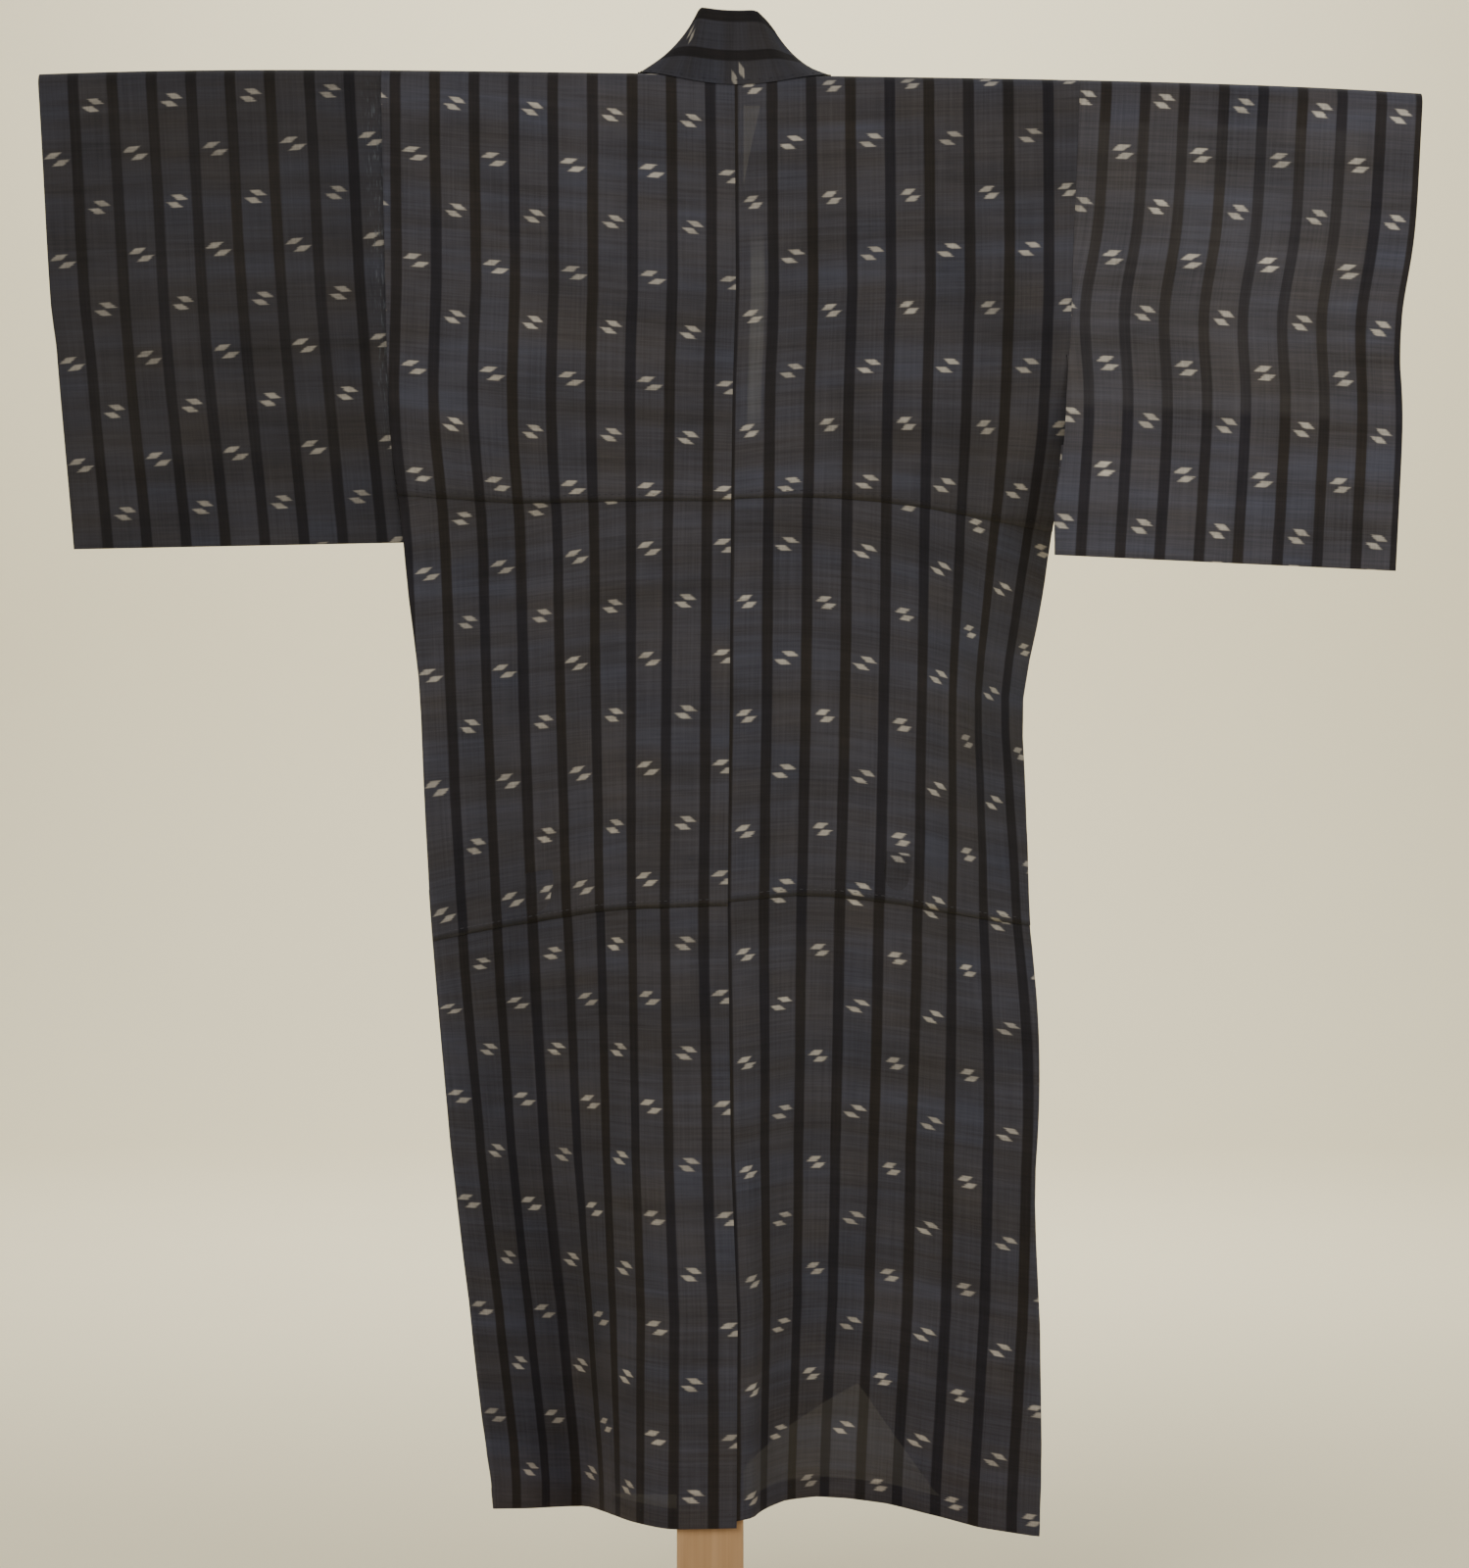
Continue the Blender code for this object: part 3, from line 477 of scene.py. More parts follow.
# finishes
cloth = {
    "step": 0.0354,          # from stripe to stripe
    "sway": 0.0030,          # threads are never quite straight
    "stripeHalf": 0.0049,
    "stripeSoft": 0.0013,
    "stripeRagged": 0.0012,
    "ground": (0.052, 0.050, 0.060),
    "groundBlue": (0.050, 0.052, 0.071),
    "groundBrown": (0.057, 0.0515, 0.0535),
    "stripe": (0.0168, 0.0156, 0.0205),
    "stripeBrown": (0.0210, 0.0175, 0.0160),
    "mark": (0.40, 0.37, 0.325),
    "markShift": (0.0050, 0.0035),  # how far a mark strays across and along
    "markRagged": 0.0050,
    "markSoft": (0.0024, 0.0010),
    "markUnderStripe": 0.85,
    "fleck": (0.135, 0.150, 0.175),
    "alpha": 0.987,          # one layer lets a little of the light behind it through
    "threads": 0.00062,
    "weaveShade": 0.16,
    "bump": (0.35, 0.00035),
    "roughness": (0.78, 0.95),
    "specular": 0.22,
    "sheen": (0.06, 0.5),
}
# the paired marks: width, height, how far the top leans right, then how the lower one sits to the upper one
marksLeft = {"a": (0.0097, 0.0049, 0.0060, 0.0071, 0.0069), "b": (0.0088, 0.0050, -0.0058, -0.0047, 0.0064)}
marksRight = {"a": (0.0086, 0.0050, 0.0046, 0.0041, 0.0062), "b": (0.0090, 0.0047, -0.0054, -0.0068, 0.0071)}
marksSleeve = {"a": (0.0099, 0.0053, 0.0060, 0.0034, 0.0072), "b": (0.0091, 0.0053, -0.0054, -0.0043, 0.0072)}


class Nodes:
    # short ways to add maths to a material
    def __init__(self, material):
        self.tree = material.node_tree
        self.count = 0

    def add(self, kind, **settings):
        node = self.tree.nodes.new(kind)
        for key, value in settings.items():
            setattr(node, key, value)
        node.location = (-220 * (self.count // 12) - 300, 300 - 60 * (self.count % 12))
        self.count += 1
        return node

    def plug(self, source, target):
        if hasattr(source, "is_linked"):
            self.tree.links.new(source, target)
        else:
            target.default_value = source

    def math(self, operation, *values):
        node = self.add("ShaderNodeMath", operation=operation)
        for value, socket in zip(values, node.inputs):
            self.plug(value, socket)
        return node.outputs[0]

    def mix(self, factor, first, second):
        node = self.add("ShaderNodeMix", data_type="RGBA")
        self.plug(factor, node.inputs[0])
        self.plug((*first, 1.0) if isinstance(first, tuple) else first, node.inputs[6])
        self.plug((*second, 1.0) if isinstance(second, tuple) else second, node.inputs[7])
        return node.outputs[2]

    def spread(self, value, low, high, fromLow=0.0, fromHigh=1.0):
        node = self.add("ShaderNodeMapRange", clamp=True)
        for socket, number in zip(node.inputs, (value, fromLow, fromHigh, low, high)):
            self.plug(number, socket)
        return node.outputs[0]

    def point(self, x, y, z=0.0):
        node = self.add("ShaderNodeCombineXYZ")
        for value, socket in zip((x, y, z), node.inputs):
            self.plug(value, socket)
        return node.outputs[0]

    def noise(self, place, scale=1.0, detail=2.0, roughness=0.5):
        node = self.add("ShaderNodeTexNoise")
        self.plug(place, node.inputs["Vector"])
        node.inputs["Scale"].default_value = scale
        node.inputs["Detail"].default_value = detail
        node.inputs["Roughness"].default_value = roughness
        return node.outputs[0]

    def inside(self, distance, half, soft):
        # 1 where a distance is within half, with a soft edge
        room = self.math("SUBTRACT", half, distance)
        return self.math("ADD", self.math("DIVIDE", room, soft), 0.5)

    def clamp(self, value):
        return self.math("MINIMUM", self.math("MAXIMUM", value, 0.0), 1.0)

    def streaks(self, u, v, perU, perV, seed, detail=1.0, roughness=0.5):
        # noise drawn out along one way of the cloth
        place = self.point(self.math("MULTIPLY", u, perU), self.math("MULTIPLY", v, perV), seed)
        return self.noise(place, 1.0, detail, roughness)

    def stretch(self, u, v, span, soft):
        # 1 within a stretch of cloth, from and to across, then along, with soft edges
        uLow, uHigh, vLow, vHigh = span
        toU = self.math("ABSOLUTE", self.math("SUBTRACT", u, (uLow + uHigh) / 2))
        toV = self.math("ABSOLUTE", self.math("SUBTRACT", v, (vLow + vHigh) / 2))
        inU = self.clamp(self.inside(toU, (uHigh - uLow) / 2, soft[0]))
        inV = self.clamp(self.inside(toV, (vHigh - vLow) / 2, soft[1]))
        return self.math("MULTIPLY", inU, inV)


def newMaterial(name):
    material = bpy.data.materials.new(name)
    material.use_nodes = True
    return material, Nodes(material), material.node_tree.nodes["Principled BSDF"]


def kasuriCloth(
    name, start, pitch, rows, marks, flip=1.0, slope=0.0, light=1.0, seed=0.0, lighterStretches=(), leaks=None,
    bare=None,
):
    # striped plain weave with small paired marks, read from the piece's UV map in metres
    material, n, shader = newMaterial(name)
    uv = n.add("ShaderNodeUVMap", uv_map="cloth")
    split = n.add("ShaderNodeSeparateXYZ")
    n.plug(uv.outputs[0], split.inputs[0])
    u, v = split.outputs[0], split.outputs[1]
    warpSway = n.streaks(u, v, 9.0, 5.0, seed)
    u = n.math("MULTIPLY_ADD", n.math("SUBTRACT", warpSway, 0.5), cloth["sway"], u)
    spot = n.math("DIVIDE", n.math("SUBTRACT", u, start), cloth["step"])
    number = n.math("FLOOR", spot)
    part = n.math("SUBTRACT", spot, number)
    fromMiddle = n.math("MULTIPLY", n.math("SUBTRACT", part, 0.5), cloth["step"])

    # stripes
    warpNoise = n.streaks(u, v, 1500.0, 30.0, seed + 2.0)
    toStripe = n.math("SUBTRACT", cloth["step"] / 2, n.math("ABSOLUTE", fromMiddle))
    toStripe = n.math("MULTIPLY_ADD", n.math("SUBTRACT", warpNoise, 0.5), cloth["stripeRagged"], toStripe)
    stripe = n.clamp(n.inside(toStripe, cloth["stripeHalf"], cloth["stripeSoft"]))

    # marks
    even = n.math("SUBTRACT", 1.0, n.math("FLOORED_MODULO", number, 2.0))

    def pick(k):
        first, second = marks["a"][k], marks["b"][k]
        return n.math("MULTIPLY_ADD", even, second - first, first)

    leaning = n.math("MULTIPLY_ADD", u, slope, v)
    rowStart = n.math("MULTIPLY_ADD", even, rows[1] - rows[0], rows[0])
    turn = n.math("ADD", n.math("DIVIDE", n.math("SUBTRACT", leaning, rowStart), pitch), 0.5)
    rowNumber = n.math("FLOOR", turn)
    along = n.math("MULTIPLY", n.math("SUBTRACT", n.math("FRACT", turn), 0.5), pitch)
    # one number for each mark, the same all over it
    markPlace = n.point(n.math("MULTIPLY", number, 5.17), n.math("MULTIPLY", rowNumber, 3.71), seed)
    own = n.math("SUBTRACT", n.noise(markPlace, 3.1, 0.0), 0.5)
    shiftAcross, shiftAlong = cloth["markShift"]
    sideways = n.math("MULTIPLY", fromMiddle, flip)
    sideways = n.math("MULTIPLY_ADD", own, shiftAcross, sideways)
    along = n.math("MULTIPLY_ADD", own, shiftAlong, along)
    weftNoise = n.streaks(u, v, 60.0, 1500.0, seed + 5.0)
    ragged = n.math("MULTIPLY", n.math("SUBTRACT", weftNoise, 0.5), cloth["markRagged"])
    softAcross, softAlong = cloth["markSoft"]
    width, height, lean, across, apart = (pick(k) for k in range(5))
    found = None
    for side in (-0.5, 0.5):
        cy = n.math("MULTIPLY_ADD", apart, -side, along)
        cx = n.math("MULTIPLY_ADD", across, -side, sideways)
        slant = n.math("DIVIDE", n.math("MULTIPLY", lean, cy), height)
        cx = n.math("ADD", n.math("ADD", cx, slant), ragged)
        reach = n.clamp(n.inside(n.math("ABSOLUTE", cx), n.math("MULTIPLY", width, 0.5), softAcross))
        tall = n.clamp(n.inside(n.math("ABSOLUTE", cy), n.math("MULTIPLY", height, 0.5), softAlong))
        mark = n.math("MULTIPLY", reach, tall)
        found = mark if found is None else n.math("MAXIMUM", found, mark)
    faint = n.spread(own, 0.70, 1.0, -0.25, 0.15)
    clearOfStripe = n.math("SUBTRACT", 1.0, n.math("MULTIPLY", stripe, cloth["markUnderStripe"]))
    marked = n.math("MULTIPLY", n.math("MULTIPLY", found, faint), clearOfStripe)
    if bare:
        # a stretch where the weaver left the marks out
        area = n.stretch(u, v, bare, (0.001, 0.001))
        marked = n.math("MULTIPLY", marked, n.math("SUBTRACT", 1.0, area))

    # uneven dye: bands across, and each ground column and stripe a little different
    bands = n.streaks(u, v, 2.5, 34.0, seed + 9.0, 3.0, 0.62)
    blocks = n.streaks(number, v, 4.3, 17.0, seed + 13.0)
    hue = n.math("ADD", n.math("MULTIPLY", bands, 0.5), n.math("MULTIPLY", blocks, 0.5))
    ground = n.mix(n.spread(hue, 0.0, 1.0, 0.36, 0.50), cloth["groundBrown"], cloth["ground"])
    ground = n.mix(n.spread(hue, 0.0, 1.0, 0.50, 0.64), ground, cloth["groundBlue"])
    stripeNumber = n.math("FLOOR", n.math("ADD", spot, 0.5))
    stripeHue = n.streaks(stripeNumber, v, 6.1, 5.0, seed)
    dark = n.mix(n.spread(stripeHue, 0.0, 1.0, 0.38, 0.62), cloth["stripe"], cloth["stripeBrown"])
    colour = n.mix(stripe, ground, dark)
    # each listed stretch mixes a lighter tint into the colour; on the sleeves it is painted light showing
    # through the cloth
    for *span, soft, amount, tint in lighterStretches:
        colour = n.mix(n.math("MULTIPLY", n.stretch(u, v, span, soft), amount), colour, tint)
    colour = n.mix(marked, colour, cloth["mark"])
    if leaks:
        # small flecks of light where the cloth is puckered and worn thin along a seam
        thin = n.spread(n.streaks(u, v, 620.0, 75.0, seed + 41.0, 2.0, 0.6), 0.0, 0.75, 0.56, 0.70)
        area = n.stretch(u, v, leaks, (0.010, 0.03))
        colour = n.mix(n.math("MULTIPLY", area, thin), colour, cloth["fleck"])

    # fine streaks both ways, and slow clouds of wear
    slubs = n.streaks(u, v, 14.0, 420.0, seed + 21.0, 2.0, 0.7)
    warpFine = n.streaks(u, v, 480.0, 9.0, seed + 25.0, 2.0, 0.7)
    cloudy = n.noise(n.point(u, v, seed + 31.0), 11.0, 2.0, 0.5)
    bright = n.spread(slubs, 0.77, 1.23, 0.25, 0.75)
    bright = n.math("ADD", bright, n.spread(warpFine, -0.15, 0.15, 0.25, 0.75))
    bright = n.math("ADD", bright, n.spread(cloudy, -0.13, 0.13, 0.3, 0.7))
    bright = n.math("ADD", bright, n.spread(bands, -0.20, 0.20, 0.3, 0.7))

    # plain weave: warp and weft threads over and under each other, their crossings painted lighter and darker
    # as painted shade
    warp = n.math("SINE", n.math("MULTIPLY", u, 2 * math.pi / cloth["threads"]))
    weft = n.math("SINE", n.math("MULTIPLY", v, 2 * math.pi / (cloth["threads"] * 1.12)))
    weave = n.math("MULTIPLY", warp, weft)
    bright = n.math("MULTIPLY_ADD", weave, cloth["weaveShade"], bright)
    shade = n.add("ShaderNodeHueSaturation")
    n.plug(colour, shade.inputs["Color"])
    # light scales the piece's whole colour: painted light where it is above 1, painted shade where it is
    # below 1
    n.plug(n.math("MULTIPLY", n.math("MAXIMUM", bright, 0.35), light), shade.inputs["Value"])
    n.plug(shade.outputs[0], shader.inputs["Base Color"])

    threadHeight = n.math("MULTIPLY", n.math("ADD", slubs, warpFine), 0.9)
    heightField = n.math("ADD", n.math("MULTIPLY", weave, 0.5), threadHeight)
    bump = n.add("ShaderNodeBump")
    bump.inputs["Strength"].default_value, bump.inputs["Distance"].default_value = cloth["bump"]
    n.plug(heightField, bump.inputs["Height"])
    n.plug(bump.outputs[0], shader.inputs["Normal"])
    n.plug(n.spread(slubs, *cloth["roughness"], 0.2, 0.8), shader.inputs["Roughness"])
    shader.inputs["Alpha"].default_value = cloth["alpha"]
    shader.inputs["Specular IOR Level"].default_value = cloth["specular"]
    for socket, value in zip(("Sheen Weight", "Sheen Roughness"), cloth["sheen"]):
        shader.inputs[socket].default_value = value
    return material


# how the pattern's rows fall on the back
patternRows = {
    "pitch": {"left": 0.0960, "right": 0.1015},
    "tucks": (0.388, 0.746),
    "stretch": 1.011,
    "turned": 0.00785,       # of height, lost where the cloth turns over the bar
    "bow": 1.9,              # the power by which a row drops between the centre seam and the side
    "tuckSide": 0.29,        # how far out a tuck and a row are at their full drop
    "rowSide": 0.30,
    "leastFold": 0.0012,
    # how much lower each tuck is out at the side, for the square of the way out
    "slant": {"left": (0.0, 0.44), "right": (0.15, 0.10)},
    "slantRun": 0.10,
    # the row number at the centre seam and at the side: shoulder, above and below each tuck, hem
    "left": ((-1.005, -0.804), (3.074, 3.21), (3.593, 3.21), (7.262, 7.214), (8.180, 8.168), (13.786, 13.90)),
    "right": ((-1.15, -1.00), (2.575, 2.81), (3.095, 2.81), (6.60, 6.52), (7.502, 7.469), (13.17, 13.14)),
}


def backRows():
    # one entry for each row below the turn over the bar: down, which stretch of cloth or which tuck, and the
    # entry of tuckFold for a row of the fold behind a tuck
    stops = [quarterTurn, *patternRows["tucks"], back["length"]]
    rows = []
    for k in range(3):
        count = int(round((stops[k + 1] - stops[k]) / back["cell"]))
        for j in range(1 if k == 0 else 0, count + 1):
            rows.append((stops[k] + (stops[k + 1] - stops[k]) * j / count, k, None))
        if k < 2:
            rows.extend((stops[k + 1], k, fold) for fold in back["tuckFold"])
    return rows


def drawnUp(half, tuck, out):
    # how much cloth a tuck hides, halved: as deep as the fold behind it
    table = patternRows[half]
    seamHidden = table[2 * tuck + 2][0] - table[2 * tuck + 1][0]
    sideHidden = table[2 * tuck + 2][1] - table[2 * tuck + 1][1]
    t = np.clip(out / patternRows["tuckSide"], 0.0, 1.0)
    hidden = seamHidden + (sideHidden - seamHidden) * t ** patternRows["bow"]
    return np.maximum(hidden * patternRows["pitch"][half] / 2, patternRows["leastFold"])


def rowNumberAt(half, index, out):
    seamRow, sideRow = patternRows[half][index]
    power = 1.0 if index < 2 else patternRows["bow"]
    return seamRow + (sideRow - seamRow) * np.clip(out / patternRows["rowSide"], 0.0, 1.1) ** power


def rowsBetween(half, index, share, out):
    # the row number a share of the way from one level to the next
    return rowNumberAt(half, index, out) * (1 - share) + rowNumberAt(half, index + 1, out) * share


def fallShare(down):
    # how far down from the shoulder's top to the first tuck, as it is seen from behind
    fall, turned = patternRows["stretch"], patternRows["turned"]
    return (fall * down - turned) / (fall * patternRows["tucks"][0] - turned)


def backGrid(half):
    neck = back["neckHalfWidth"]
    neckColumns, columns, turned = back["neckColumns"], back["columns"], back["turnRows"]
    place, across, along, base = [], [], [], []

    def outsAt(down):
        width = float(backWidth(half, down))
        inner = neck * np.arange(neckColumns) / neckColumns
        inner[0] = back["seamStart"]
        return np.concatenate([inner, neck + (width - neck) * np.arange(columns + 1) / columns])

    for j in range(turned + 1):
        outs = outsAt(0.0)
        top = np.where(outs < neck, back["neckDip"] * (1.0 - (outs / neck) ** 2), 0.0)
        down = top + (quarterTurn - top) * j / turned
        points = np.array([backSection(half, [o], d)[0] for o, d in zip(outs, down)])
        place.append(points)
        across.append(outs)
        along.append(rowsBetween(half, 0, fallShare(down), outs))
        base.append(0.5 * quarterTurn)
    lifts = [np.zeros(neckColumns + columns + 1) for _ in base]
    for down, stretch, fold in backRows():
        outs = outsAt(down)
        shift = np.zeros(len(outs))
        for level, slant in zip(patternRows["tucks"], patternRows["slant"][half]):
            shift += slant * outs**2 * math.exp(-(((down - level) / patternRows["slantRun"]) ** 2))
        lift = np.zeros(len(outs))
        actual = down + shift
        if fold:
            drawn, share, height = fold
            actual = actual - drawn * drawnUp(half, stretch, outs)
            lift += height * back["tuckLift"]
            rows = rowsBetween(half, 2 * stretch + 1, share, outs)
        else:
            start = patternRows["tucks"][stretch - 1] if stretch else 0.0
            end = patternRows["tucks"][stretch] if stretch < 2 else back["length"]
            share = fallShare(down) if stretch == 0 else (down - start) / (end - start)
            rows = rowsBetween(half, 2 * stretch, share, outs)
            if stretch < 2:
                depth = drawnUp(half, stretch, outs)
                lift += back["tuckLift"] * eased(end - depth - 0.05, end - depth - 0.008, down)
        if len(np.unique(np.round(actual, 5))) == 1:
            points = backSection(half, outs, float(actual[0]))
        else:
            actual = np.minimum(actual, back["length"])
            points = np.array([backSection(half, [o], float(d))[0] for o, d in zip(outs, actual)])
        place.append(points)
        across.append(outs)
        along.append(rows)
        lifts.append(lift)
        base.append(down)
    place, across, lifts = np.array(place), np.array(across), np.array(lifts)
    along = np.array(along) * patternRows["pitch"][half]
    base = np.array(base)
    flat = np.array([True] * (turned + 1) + [fold is None for _, _, fold in backRows()])
    return place, across, along, lifts, base, flat


print("shapes are ready")

# the two body strips: back, shoulder and front in one length of cloth
# light=1.04 paints both strips a little lighter: painted light, making up for the darkening where two layers
# lie together
bodyFinish = {
    "left": kasuriCloth(
        "stripedClothLeft", 0.0215, patternRows["pitch"]["left"], (0.0, -0.0480), marksLeft, flip=-1.0,
        light=1.04, seed=1.0,
    ),
    "right": kasuriCloth(
        "stripedClothRight", 0.0335, patternRows["pitch"]["right"], (0.0, 0.0508), marksRight,
        light=1.04, seed=47.0,
        # a lighter grey strip beside the centre seam, mixed into the colour
        lighterStretches=((0.0135, 0.0255, 0.036, 0.196, (0.0018, 0.03), 0.23, (0.20, 0.20, 0.20)),),
    ),
}
bodyRipple = 0.00028
bodyCreases = {
    # from across, down to across, down, half width, depth (minus is a trough)
    "left": (
        (0.292, 0.06, 0.236, 0.27, 0.011, -0.0011), (0.300, 0.19, 0.226, 0.40, 0.013, 0.0009),
        (0.270, 0.02, 0.262, 0.33, 0.009, 0.0007), (0.060, 0.03, 0.092, 0.22, 0.014, -0.0006),
        (0.205, 0.42, 0.190, 0.73, 0.012, -0.0012), (0.262, 0.47, 0.246, 0.71, 0.015, 0.0012),
        (0.120, 0.40, 0.135, 0.66, 0.016, 0.0009), (0.036, 0.42, 0.030, 0.70, 0.009, -0.0007),
        (0.225, 0.78, 0.233, 1.20, 0.012, -0.0012), (0.080, 0.80, 0.098, 1.27, 0.013, 0.0011),
        (0.160, 0.84, 0.171, 1.16, 0.010, -0.0009), (0.278, 0.90, 0.262, 1.28, 0.012, 0.0010),
        (0.030, 1.06, 0.040, 1.28, 0.011, -0.0009), (0.198, 1.10, 0.205, 1.29, 0.009, 0.0010),
    ),
    "right": (
        (0.288, 0.05, 0.246, 0.29, 0.011, -0.0010), (0.296, 0.20, 0.214, 0.39, 0.012, -0.0012),
        (0.252, 0.04, 0.240, 0.24, 0.010, 0.0006), (0.040, 0.12, 0.046, 0.34, 0.012, 0.0006),
        (0.214, 0.40, 0.236, 0.70, 0.010, 0.0014), (0.262, 0.40, 0.268, 0.68, 0.010, -0.0014),
        (0.285, 0.46, 0.292, 0.72, 0.008, 0.0009), (0.150, 0.42, 0.160, 0.72, 0.015, -0.0008),
        (0.070, 0.44, 0.064, 0.70, 0.014, 0.0008), (0.110, 0.79, 0.122, 1.12, 0.013, -0.0011),
        (0.054, 0.90, 0.061, 1.27, 0.009, 0.0011), (0.178, 0.80, 0.190, 1.18, 0.012, 0.0010),
        (0.250, 0.84, 0.238, 1.26, 0.012, -0.0012), (0.136, 1.12, 0.146, 1.29, 0.010, 0.0009),
        (0.026, 0.98, 0.030, 1.28, 0.008, -0.0009),
    ),
}
frontCreases = {
    "left": (
        (0.285, 0.05, 0.230, 0.34, 0.012, -0.0010), (0.240, 0.36, 0.225, 0.80, 0.014, 0.0012),
        (0.180, 0.30, 0.196, 0.90, 0.014, -0.0011), (0.120, 0.45, 0.128, 1.10, 0.013, 0.0010),
        (0.262, 0.70, 0.250, 1.25, 0.012, -0.0012), (0.210, 0.90, 0.214, 1.27, 0.011, 0.0010),
    ),
    "right": (
        (0.280, 0.06, 0.238, 0.30, 0.012, -0.0010), (0.226, 0.34, 0.236, 0.86, 0.014, 0.0012),
        (0.166, 0.28, 0.176, 0.82, 0.013, -0.0010), (0.255, 0.62, 0.262, 1.22, 0.011, -0.0012),
        (0.130, 0.60, 0.120, 1.20, 0.013, 0.0010), (0.200, 0.88, 0.190, 1.26, 0.010, 0.0009),
    ),
}


def bodyBack(half):
    place, across, along, lifts, base, flat = backGrid(half)
    # the rows behind a tuck take the normals of the row above them
    normal = faceOut(place[flat], (0.0, -1.0, 0.0))[np.cumsum(flat) - 1]
    down = np.repeat(base[:, None], across.shape[1], axis=1)
    relief = softCreases(across, down, bodyCreases[half], 1.0 if half == "left" else 2.0)
    relief += slowRipple(across, down, bodyRipple, 0.4 if half == "left" else 2.2)
    relief *= eased(0.02, 0.07, down) * (0.35 + 0.65 * eased(0.0, 0.02, across))
    relief[~flat] = 0.0
    for level in patternRows["tucks"]:
        relief *= 1.0 - np.exp(-(((down - level) / 0.012) ** 2))
    place = place + normal * (lifts + relief)[..., None]
    for k, level in enumerate(patternRows["tucks"]):
        row = int(np.flatnonzero(flat & (np.abs(base - level) < 1e-6))[0]) - 1
        tuckPaths[k].append(place[row, 3:-3] + normal[row, 3:-3] * seams["onFace"])
    grid = turnedIn([place, across, along, normal], "rowEnd", 3)
    base = np.concatenate([base, [base[-1], base[-1], *base[-1:-5:-1]]])
    grid = closedSide(grid, half, base)
    if half == "left":
        return turnedIn(grid, "columnStart", 1), base
    return runUnder(grid, "columnStart"), base


def closedSide(grid, half, base):
    # the side edge: a narrow turned hem beside the armhole, and below it the seam that closes onto the front
    place, across, along, normal = grid
    sign = sideOf[half]
    edge, before, out = place[:, -1], place[:, -2], normal[:, -1]
    gap, span = seams["turnGap"], fronts["seamGap"]
    free = rolled(edge, unit(edge - before), out)
    free += [edge - out * gap, before - normal[:, -2] * gap]
    innerX = edge[:, 0] - sign * 0.008
    downs = np.maximum(base, quarterTurn)
    behind = np.array([frontPoints(half, [x], down)[0][1] for x, down in zip(innerX, downs)])
    sewn = [edge + (sign * 0.0007, span * 0.3, 0.0), edge + (sign * 0.0007, span * 0.72, 0.0)]
    sewn.append(edge + (0.0, span - 0.0007, 0.0))
    sewn.append(np.stack([innerX, behind - 0.0011, edge[:, 2]], -1))
    share = eased(0.405, back["sideSeamStart"], base)[:, None]
    more = np.stack([f * (1.0 - share) + s * share for f, s in zip(free, sewn)], 1)
    place = np.concatenate([place, more], 1)
    last = across[:, -1:]
    across = np.concatenate([across, last + 0.0004, last + 0.0008, last + 0.001, last + 0.007], 1)
    along = np.concatenate([along] + [along[:, -1:]] * 4, 1)
    normal = np.concatenate([normal] + [normal[:, -1:]] * 4, 1)
    return [place, across, along, normal]


def hungDowns(length):
    # the rows of a length of cloth over the bar, from its top down to its end
    turned = back["turnRows"]
    count = int(round((length - quarterTurn) / back["cell"]))
    downs = [quarterTurn * j / turned for j in range(turned + 1)]
    return downs + [quarterTurn + (length - quarterTurn) * j / count for j in range(1, count + 1)]


def bodyFront(half):
    columns = back["columns"]
    downs = hungDowns(back["length"])
    place, across, along = [], [], []
    for down in downs:
        edgeX = float(frontSideEdge(half, down)[0])
        innerX = float(frontInnerX(half, down))
        if down > fronts["overlapStart"]:
            innerX += sideOf[half] * fronts["halfSeam"]
        x = innerX + (edgeX - innerX) * np.arange(columns + 1) / columns
        place.append(frontPoints(half, x, down))
        out = backWidth(half, down) - np.abs(edgeX - x)
        across.append(out)
        along.append(rowsBetween(half, 0, fallShare(0.0), out) * patternRows["pitch"][half] - down)
    place, across, along = np.array(place), np.array(across), np.array(along)
    normal = faceOut(place, (0.0, 1.0, 0.0))
    down = np.repeat(np.array(downs)[:, None], columns + 1, axis=1)
    relief = softCreases(across, down, frontCreases[half], 3.0)
    relief += slowRipple(across, down, bodyRipple, 4.1 if half == "left" else 5.3)
    fromSide = np.abs(place[:, -1:, 0] - place[..., 0])
    fromInner = np.abs(place[:, :1, 0] - place[..., 0])
    relief *= eased(0.02, 0.08, down) * eased(0.0, 0.03, fromSide) * eased(0.0, 0.02, fromInner)
    place = place + normal * relief[..., None]
    grid = turnedIn([place, across, along, normal], "rowEnd", 3)
    grid = turnedIn(grid, "columnEnd", 1)
    return turnedIn(grid, "columnStart", 1)


frontNodes = {
    "left": ("front_left",),
    "right": ("front_right_upper", "front_right_middle", "front_right_lower"),
}
hemPaths, tuckPaths = [], ([], [])
for half in ("left", "right"):
    backPart, backBase = bodyBack(half)
    frontPart = bodyFront(half)
    flips = (half == "right", half == "left")
    strip = clothObject(f"body{half.capitalize()}", [backPart, frontPart], bodyFinish[half], flips)
    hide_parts(f"back_{half}", *frontNodes[half])
    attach(strip, "root")
    for part in (backPart, frontPart):
        hemPaths.append(part[0][-9, 5:-6] + part[3][-9, 5:-6] * seams["onFace"])
print("body strips are in")


